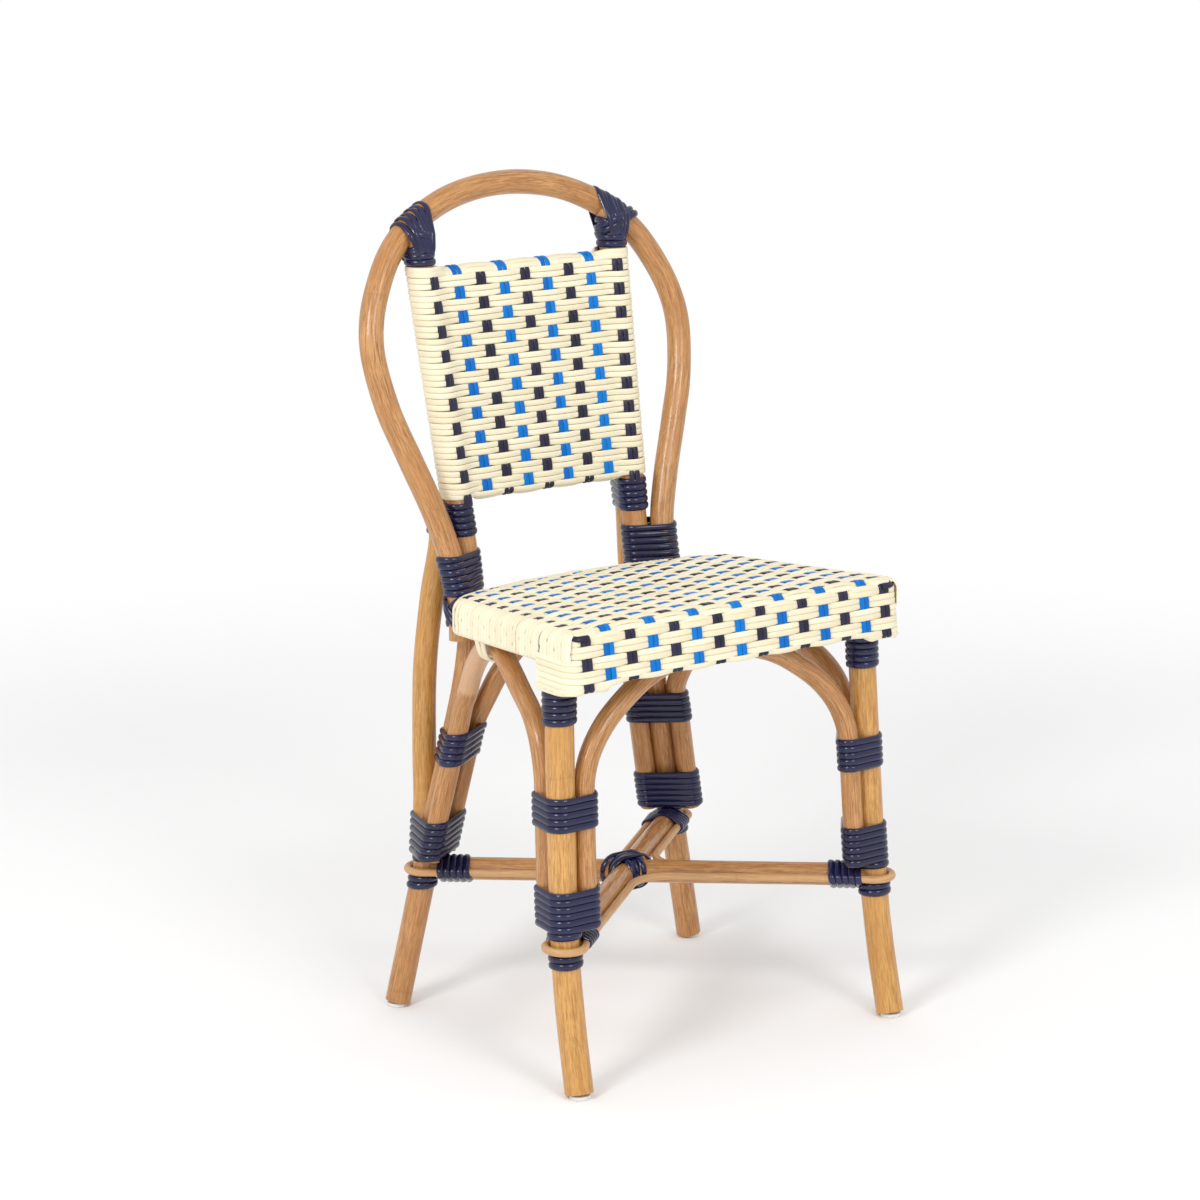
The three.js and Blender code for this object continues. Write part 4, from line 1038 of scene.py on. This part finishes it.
def nearestOutline(x, y):
    k = min(range(len(outline)), key=lambda n: (outline[n].x - x) ** 2 + (outline[n].y - y) ** 2)
    return k, math.hypot(outline[k].x - x, outline[k].y - y)


def topRuns():
    # the cream pairs across the top, which go on down the sides as far as the rear curve
    runs = []
    for row in range(-1, seat["rows"]):
        for pair in (-1, 1):
            s = rowSpot(row) + pair * seat["strandGap"] / 2
            y = seatSpot(s, 0)[0]
            right, rim = [], []
            if row <= seat["lastSideRow"]:
                k = nearestOutline(211, -188 + 3 * pair)[0] if row == -1 else outlineAt(y)
                stop = seat["blockStop"] if outline[k].y < seat["blockEnd"] - 1 else None
                rim = rimPoints(k, seat["sideLip"], stop)
                if row == -1:
                    rim = rim[4:]
                if stop:
                    # the wrap dips behind the top strand of the corner block
                    for spot, dip in ((-1, 0.003), (-2, 0.0012)):
                        rim[spot] = (rim[spot][0] - rim[spot][1] * dip, rim[spot][1])
                rim = slitted(rim, row, pair)
                reach = rim[0][0].x * 1000 - 3
                turnY = rim[0][0].y * 1000 - chair["shiftY"]
            else:
                spots = [p for p in outline if p.y > 30 and p.y - 9 >= y]
                if not spots:
                    continue
                reach = max(p.x for p in spots) - 8
                turnY = y
            count = max(4, int(reach / weave["step"]))
            for n in range(count + 1):
                x = reach * n / count
                point, way = onSeat(x, s, creamDepth(x, y, row))
                if not rim:
                    point.z -= 0.003 * blend(x, reach - 12, reach)
                else:
                    point.y += (turnY - y) / 1000 * blend(x, reach - 50, reach)
                right.append((point, way))
            right += rim
            runs.append((mirrorRun(right)[:-1] + right, False))
    return runs


def cornerTurn(y, z):
    # a band goes round the front corner on the level
    corner = seat["corner"]
    middle = Vector((seat["half"] - corner, y + corner, 0))
    return [(Vector((p.x, p.y, z)), (p - middle).normalized()) for p in arcPoints(middle, corner, -90, 0)]


def frontRuns():
    # the cream pairs of the front: the upper ones end at the corner, the middle ones go round the block
    # to the leg, and the lowest run under the seat
    runs = []
    for row in range(-2, -9, -1):
        for pair in (-1, 1):
            s = rowSpot(row) + pair * seat["strandGap"] / 2
            right = []
            under = s < seat["underFrom"]
            reach = seat["underReach"] if under else seat["half"] - seat["corner"]
            count = int(reach / weave["step"])
            for n in range(count):
                x = reach * n / count
                y = seatSpot(s, x)[0]
                point, way = onSeat(x, s, creamDepth(x, y, row))
                right.append((point, way))
            if not under:
                y, z, wayY, wayZ = seatSpot(s, 200)
                turn = cornerTurn(y, z)
                tucked = z > seat["tuckAbove"]
                if tucked:
                    turn = turn[:7]
                rest = creamDepth(188, y, row)
                for k, (point, way) in enumerate(turn):
                    depth = rest + (weave["wrap"] - rest) * blend(k, 0, 2.4)
                    depth -= 1.5 * blend(k, 3, 6) if tucked else 0
                    way = Vector((way.x, way.y * abs(wayY), wayZ * (1 - k / 10))).normalized()
                    right.append((place(*(point + way * depth)), way))
                if not tucked:
                    side, aside = seat["half"] + weave["wrap"], Vector((1, 0, 0))
                    right += [(place(side, spot, z), aside) for spot in seat["blockSide"][:3]]
                    if z > seat["legBelow"]:
                        right.append((place(side - 3, seat["blockSide"][3], z), aside))
                    else:
                        legAt = atHeight(frontLegLine, z / 1000) * 1000
                        legAt.y -= chair["shiftY"]
                        for angle in seat["legAngles"]:
                            way = Vector((math.cos(math.radians(angle)), math.sin(math.radians(angle)), 0))
                            right.append((place(*(legAt + way * seat["legRing"])), way))
            runs.append((mirrorRun(right)[:-1] + right, False))
    # short strands under the corner blocks, beside the legs
    for inset in seat["blockInsets"]:
        x, z = seat["half"] - inset, seat["cornerBottom"] - weave["wrap"]
        run = [(place(x, y, z), -upward) for y in seat["blockStrand"]]
        runs += [(run, False), (mirrorRun(run), False)]
    return runs


def rimRuns():
    # wraps round the curved rear rim
    first = outlineAt(seatSpot(rowSpot(seat["lastSideRow"]) + seat["strandGap"] / 2, 0)[0])
    length = (len(outline) - 1 - first) * 2.0
    count = round(length / 6.0)
    runs = []
    for n in range(1, count + 1):
        k = min(len(outline) - 1, first + round(n * length / count / 2.0))
        run = rimPoints(k, seat["rearLip"], start=17)
        run[0][0].z -= 0.0022
        runs.append((run, False))
        if outline[k].x > 3:
            runs.append((mirrorRun(run), False))
    return runs


def columnRuns(parity):
    # the colored pairs, from under the front over the top to the rear rim
    runs = []
    last = (seat["columns"] - 1) / 2
    for column in range(parity, seat["columns"], 2):
        for pair in (-1, 1):
            run = []
            s = seat["underEnd"]
            while True:
                y = seatSpot(s, 0)[0]
                x = (column - last) * columnPitch(y if s > -20 else -195) + pair * weave["pair"]
                phase = column + rowPhase(s)
                depth = weave["colorRest"] + weave["colorSwing"] * wave(phase)
                point, way = onSeat(x, s, depth)
                if y > 20 and s > 0 and nearestOutline(abs(x), y)[1] < 9:
                    break
                run.append((point, way))
                s += 2.0
            # the strand goes on under the wraps of the rim
            for step, (point, way) in enumerate(run[-4:]):
                run[len(run) - 4 + step] = (point - way * 0.0007 * (step + 1), way)
            runs.append((run, False))
    return runs


def cornerRuns():
    # the outer navy strand turns along the edge to the corner of the seat
    s, start, reach = seat["cornerStrand"]
    run = []
    for n in range(9):
        x = start + (reach - start) * n / 8
        depth = weave["wrap"] + 1.6 - 1.3 * blend(x, 200, reach)
        point, way = onSeat(x, s + 3 * blend(x, 198, reach), depth)
        point.y += 0.0075 * blend(x, 194, reach + 4)
        run.append((point, way))
    return [(run, False), (mirrorRun(run), False)]


def wovenPiece(name, runs, size, material, node):
    finishPiece(sweepStrands(name, runs, *weave[size]), material, [node])


for name, runs, size, material in (("seatTopStrands", topRuns(), "cream", creamStrand),
                                   ("seatFrontStrands", frontRuns(), "cream", creamStrand),
                                   ("seatRimStrands", rimRuns(), "cream", creamStrand),
                                   ("seatNavyStrands", columnRuns(0) + cornerRuns(), "color", navyStrand),
                                   ("seatBlueStrands", columnRuns(1), "color", blueStrand)):
    wovenPiece(name, runs, size, material, "seat_weave")

seatFrame = {"diameter": 25, "start": -165.4, "railDiameter": 24, "railHalf": 196.5,
             "rails": (("Top", -179.4, 454.6, "top"), ("Low", -182.2, 430.1, "low"))}
frameHalf = [Vector((sideHalf(seatFrame["start"]) - seat["inset"], seatFrame["start"], 0)),
             *rearShape(seat["inset"])]
frameHalf = [place(p.x, p.y, seatLevel(p.y) - seat["inset"]) for p in frameHalf]
frameLine = smoothLine(frameHalf + mirrored(frameHalf)[::-1])
polePiece("seatFrame", frameLine, seatFrame["diameter"], "seat_frame", 5)
for name, y, z, node in seatFrame["rails"]:
    rail = [place(side * seatFrame["railHalf"], y, z) for side in (-1, 1)]
    polePiece(f"seatRail{name}", rail, seatFrame["railDiameter"], f"seat_rail_front_{node}", z / 50)
print("seat woven")


# flat and round are half the panel's thickness in its middle and round the uprights
back = {"bottom": 538, "top": 776, "rail": 13, "railDiameter": 18, "firstRow": 771.6, "rowPitch": 12.37,
        "rows": 19, "columns": (0, 0.227, 0.46, 0.693, 0.957), "flat": 10, "round": 16, "bulgeFrom": -22.7,
        "bulgeTo": -6, "topEdge": 763, "topRise": 10.4, "footEdge": 541, "footRise": 6.3, "footTurn": 7.9,
        "highest": 773.2, "lowest": 541.2, "outer": (531, 774.5), "railCover": 7.15}
topRail, footRail = back["top"] - back["rail"], back["bottom"] + back["rail"]


def backSpot(z):
    point = atHeight(rearLegLine, z / 1000) * 1000
    return point.x, point.y - chair["shiftY"]


def backHalf(beyond):
    # half the thickness of the panel at a distance outward from the upright's middle
    if beyond < back["bulgeFrom"]:
        return back["flat"]
    radius, end = back["round"], back["bulgeTo"]
    if beyond >= end:
        return math.sqrt(max(0, radius ** 2 - beyond ** 2))
    span = end - back["bulgeFrom"]
    t = (beyond - back["bulgeFrom"]) / span
    high = math.sqrt(radius ** 2 - end ** 2)
    slope = -end / high * span
    return (back["flat"] * (2 * t ** 3 - 3 * t ** 2 + 1) + high * (3 * t ** 2 - 2 * t ** 3)
            + slope * (t ** 3 - t ** 2))


def backPhase(x, half):
    # 0 at the left column to 8 at the right one
    shares = back["columns"]
    share = min(abs(x) / half, shares[-1])
    for k in range(4):
        if share <= shares[k + 1]:
            return 4 + math.copysign(k + (share - shares[k]) / (shares[k + 1] - shares[k]), x)
    return 4 + math.copysign(4, x)


def overEdge(s):
    # how far a height runs on over the top or foot edge, as an angle, with the edge and its rise
    if s > back["topEdge"]:
        return (s - back["topEdge"]) / back["topRise"], back["topEdge"], back["topRise"]
    if s < back["footEdge"]:
        return (s - back["footEdge"]) / back["footTurn"], back["footEdge"], back["footRise"]
    return 0, s, 1


def backRing(z):
    # once round the panel, front first: x, y, phase and share of the round past the column at its side
    cx, cy = backSpot(z)
    edge = cx * back["columns"][-1]
    count = 72
    front = [(-edge + 2 * edge * n / count) for n in range(count + 1)]
    ring = [(x, -backHalf(abs(x) - cx), backPhase(x, cx), 0) for x in front]
    start = math.atan2(-backHalf(edge - cx), edge - cx)
    turn = [start - start * 2 * n / 14 for n in range(1, 14)]
    sides = [min(1, 2.5 * n / 14, 2.5 * (14 - n) / 14) for n in range(1, 14)]
    arc = [(cx + back["round"] * math.cos(a), back["round"] * math.sin(a), 8, side)
           for a, side in zip(turn, sides)]
    ring += arc
    ring += [(x, -y, phase, 0) for x, y, phase, _ in ring[:count + 1][::-1]]
    ring += [(-x, -y, 0, side) for x, y, _, side in arc]
    return ring, cx, cy


def headings(points, closed=True):
    count = len(points)
    ends = [(k - 1, (k + 1) % count) for k in range(count)]
    if not closed:
        ends = [(max(k - 1, 0), min(k + 1, count - 1)) for k in range(count)]
    return [(points[after] - points[before]).normalized() for before, after in ends]


def backCreamRun(s, level, row):
    ring, cx, cy = backRing(level)
    ways = [Vector((w.y, -w.x, 0)) for w in headings([Vector((x, y, 0)) for x, y, _, _ in ring])]
    angle, edge, rise = overEdge(s)
    run = []
    for (x, y, phase, side), way in zip(ring, ways):
        inner = 1 - blend(abs(x), cx - 26, cx - 13)
        tilt = angle * inner
        z = level
        if angle:
            z += (edge + rise * math.sin(angle) - level) * inner
        out = Vector((way.x * math.cos(tilt), way.y * math.cos(tilt), math.sin(tilt))).normalized()
        swing = (0.7 if angle else 1.15) * (1 - side)
        depth = -1.5 + swing * wave(phase + row) + 0.3 * side
        point = Vector((x, cy + y * math.cos(tilt), z + 0.2 * math.sin(x / 15 + row))) + out * depth
        run.append((place(*point), out))
    return run


def backCreamRuns():
    runs = []
    for row in range(back["rows"]):
        for pair in (1, -1):
            s = back["firstRow"] - back["rowPitch"] * row + pair * weave["pair"]
            runs.append((backCreamRun(s, min(s, back["highest"]), row), True))
    row = back["rows"]
    s = back["firstRow"] - back["rowPitch"] * row
    runs.append((backCreamRun(s + weave["pair"], back["lowest"], row), True))
    # the last strand only spans the uprights, as do the ones laid along the top
    under = backCreamRun(s - 2.9, back["lowest"], row)[:73]
    runs.append(([spot for spot in under if abs(spot[0].x) < 0.094], False))
    cx, cy = backSpot(back["highest"])
    for side in (-1, 1):
        spots = []
        for x in range(-104, 105, 4):
            lift = 0.7 * wave(backPhase(x, cx)) - 2.6
            spots.append(place(x, cy + side * 2.9, back["topEdge"] + back["topRise"] + lift))
        runs.append(([(spot, Vector((0, 0.2 * side, 1)).normalized()) for spot in spots], False))
    # strands laid along both rails, under the weave
    for level in (footRail, topRail):
        cx, cy = backSpot(level)
        for k in range(11):
            out = Vector((0, math.cos(2 * math.pi * k / 11), math.sin(2 * math.pi * k / 11)))
            ends = [Vector((hand * (cx - 15), cy, level)) + out * back["railCover"] for hand in (-1, 1)]
            runs.append(([(place(*end), out) for end in ends], False))
    return runs


def backColumnPoint(column, pair, s, side):
    cx, cy = backSpot(min(max(s, back["lowest"]), back["highest"]))
    x = math.copysign(back["columns"][abs(column - 4)], column - 4) * cx + pair * weave["pair"]
    angle, edge, rise = overEdge(s)
    half = backHalf(abs(x) - cx)
    z = edge + rise * math.sin(angle) if angle else s
    return Vector((x, cy + side * half * math.cos(angle), z))


def backColumnRuns(parity):
    # the colored pairs: loops round both rails, or at the sides open strands on the uprights
    runs = []
    quarter = math.pi / 2
    ends = (back["footEdge"] - back["footTurn"] * quarter, back["topEdge"] + back["topRise"] * quarter)
    for column in range(parity, 9, 2):
        outer = column in (0, 8)
        low, high = back["outer"] if outer else ends
        count = 122
        heights = [high - (high - low) * n / count for n in range(count + 1)]
        for pair in (-1, 1):
            sides = []
            for side in (-1, 1):
                half = []
                for s in heights:
                    phase = max(0, (back["firstRow"] - s) / back["rowPitch"])
                    out = None
                    if outer:
                        cx, cy = backSpot(s)
                        hand = math.copysign(1, column - 4)
                        turn = -0.33 + 0.19 * pair * hand
                        away = Vector((hand * math.sin(turn), side * math.cos(turn), 0))
                        point = Vector((hand * cx, cy, s)) + away * (back["round"] + 0.25)
                        turn *= 0.55
                        out = Vector((hand * math.sin(turn), side * math.cos(turn), 0))
                    else:
                        point = backColumnPoint(column, pair, s, side)
                    half.append((point, phase, out))
                sides.append(half)
            loops = [sides[0], sides[1][::-1]] if outer else [sides[0][:-1] + sides[1][::-1][:-1]]
            for loop in loops:
                ways = headings([p for p, _, _ in loop], not outer)
                run = []
                for (point, phase, out), way in zip(loop, ways):
                    out = out or way.cross(Vector((1, 0, 0)))
                    out = (out - way * out.dot(way)).normalized()
                    depth = -1.6 - 0.75 * wave(column + phase)
                    run.append((place(*(point + out * depth)), out))
                runs.append((run, not outer))
    return runs


for name, runs, size, material in (("backCreamStrands", backCreamRuns(), "cream", creamStrand),
                                   ("backNavyStrands", backColumnRuns(0), "color", navyStrand),
                                   ("backBlueStrands", backColumnRuns(1), "color", blueStrand)):
    wovenPiece(name, runs, size, material, "back_weave")
for end, z in (("foot", footRail), ("top", topRail)):
    x, y = backSpot(z)
    rail = [place(side * (x - 12.5), y, z) for side in (-1, 1)]
    polePiece(f"backRail_{end}", rail, back["railDiameter"], f"back_rail_{end}", z / 90)
print("back woven")


# metres and degrees; the turn is about z, then the dip and the roll
camera = {"place": (-2.20964, -2.954523, 1.3010), "turn": (-36.465, 13.165, -0.055), "lens": 109.75,
          "sensor": 36, "far": 60}


def addCamera():
    bpy.ops.object.camera_add(location=camera["place"])
    view = bpy.context.object
    view.name = "photoCamera"
    turn, dip, roll = (math.radians(value) for value in camera["turn"])
    view.rotation_euler = (Matrix.Rotation(turn, 3, "Z") @ Matrix.Rotation(math.pi / 2 - dip, 3, "X")
                           @ Matrix.Rotation(roll, 3, "Z")).to_euler()
    view.data.lens = camera["lens"]
    view.data.sensor_width = camera["sensor"]
    view.data.clip_end = camera["far"]
    bpy.context.scene.camera = view


addCamera()

# each light has its place, power and size; metres and watts
stage = {"floor": 24, "drop": 0.0002, "paper": 0.96, "world": 0.83, "clear": 1.1, "white": 2.2, "aim": 0.45,
         "lights": (("keyLight", (-2.6, -0.9, 2.2), 33, 0.8), ("fillLight", (-0.3, -2.7, 2.3), 22, 0.9))}
plainWhite = (1, 1, 1, 1)


def stageMaterial():
    # paper near the chair that takes its shadow, and plain white further off
    material = bpy.data.materials.new("studioFloor")
    tree = emptyTree(material)
    paper = addNode(tree, "ShaderNodeBsdfDiffuse", {"Color": (*[stage["paper"]] * 3, 1)})
    white = addNode(tree, "ShaderNodeEmission", {"Color": plainWhite, "Strength": 1.0})
    spot = addNode(tree, "ShaderNodeTexCoord")
    far = addNode(tree, "ShaderNodeVectorMath", {0: spot.outputs["Object"]}, operation="LENGTH")
    path = addNode(tree, "ShaderNodeLightPath")
    fade = remap(tree, far.outputs["Value"], stage["clear"], stage["white"])
    share = maths(tree, "MULTIPLY", fade, path.outputs["Is Camera Ray"])
    mix = addNode(tree, "ShaderNodeMixShader", {0: share, 1: paper.outputs[0], 2: white.outputs[0]})
    out = tree.nodes.new("ShaderNodeOutputMaterial")
    tree.links.new(mix.outputs[0], out.inputs[0])
    return material


def addStage():
    bpy.ops.mesh.primitive_plane_add(size=stage["floor"], location=(0, 0, -stage["drop"]))
    floor = bpy.context.object
    floor.name = "studioFloor"
    bpy.ops.object.transform_apply(location=True)
    floor.data.materials.append(stageMaterial())
    world = bpy.data.worlds.new("studio")
    bpy.context.scene.world = world
    tree = emptyTree(world)
    path = addNode(tree, "ShaderNodeLightPath")
    soft = addNode(tree, "ShaderNodeBackground", {"Color": plainWhite, "Strength": stage["world"]})
    white = addNode(tree, "ShaderNodeBackground", {"Color": plainWhite, "Strength": 1.0})
    mix = addNode(tree, "ShaderNodeMixShader", {0: path.outputs["Is Camera Ray"], 1: soft.outputs[0],
                                                2: white.outputs[0]})
    out = tree.nodes.new("ShaderNodeOutputWorld")
    tree.links.new(mix.outputs[0], out.inputs[0])
    for name, spot, power, size in stage["lights"]:
        bpy.ops.object.light_add(type="AREA", location=spot)
        light = bpy.context.object
        light.name = name
        light.data.energy = power
        light.data.size = size
        way = Vector((0, 0, stage["aim"])) - Vector(spot)
        light.rotation_euler = way.to_track_quat("-Z", "Y").to_euler()
    bpy.context.scene.view_settings.view_transform = "Standard"


addStage()
print("stage set")
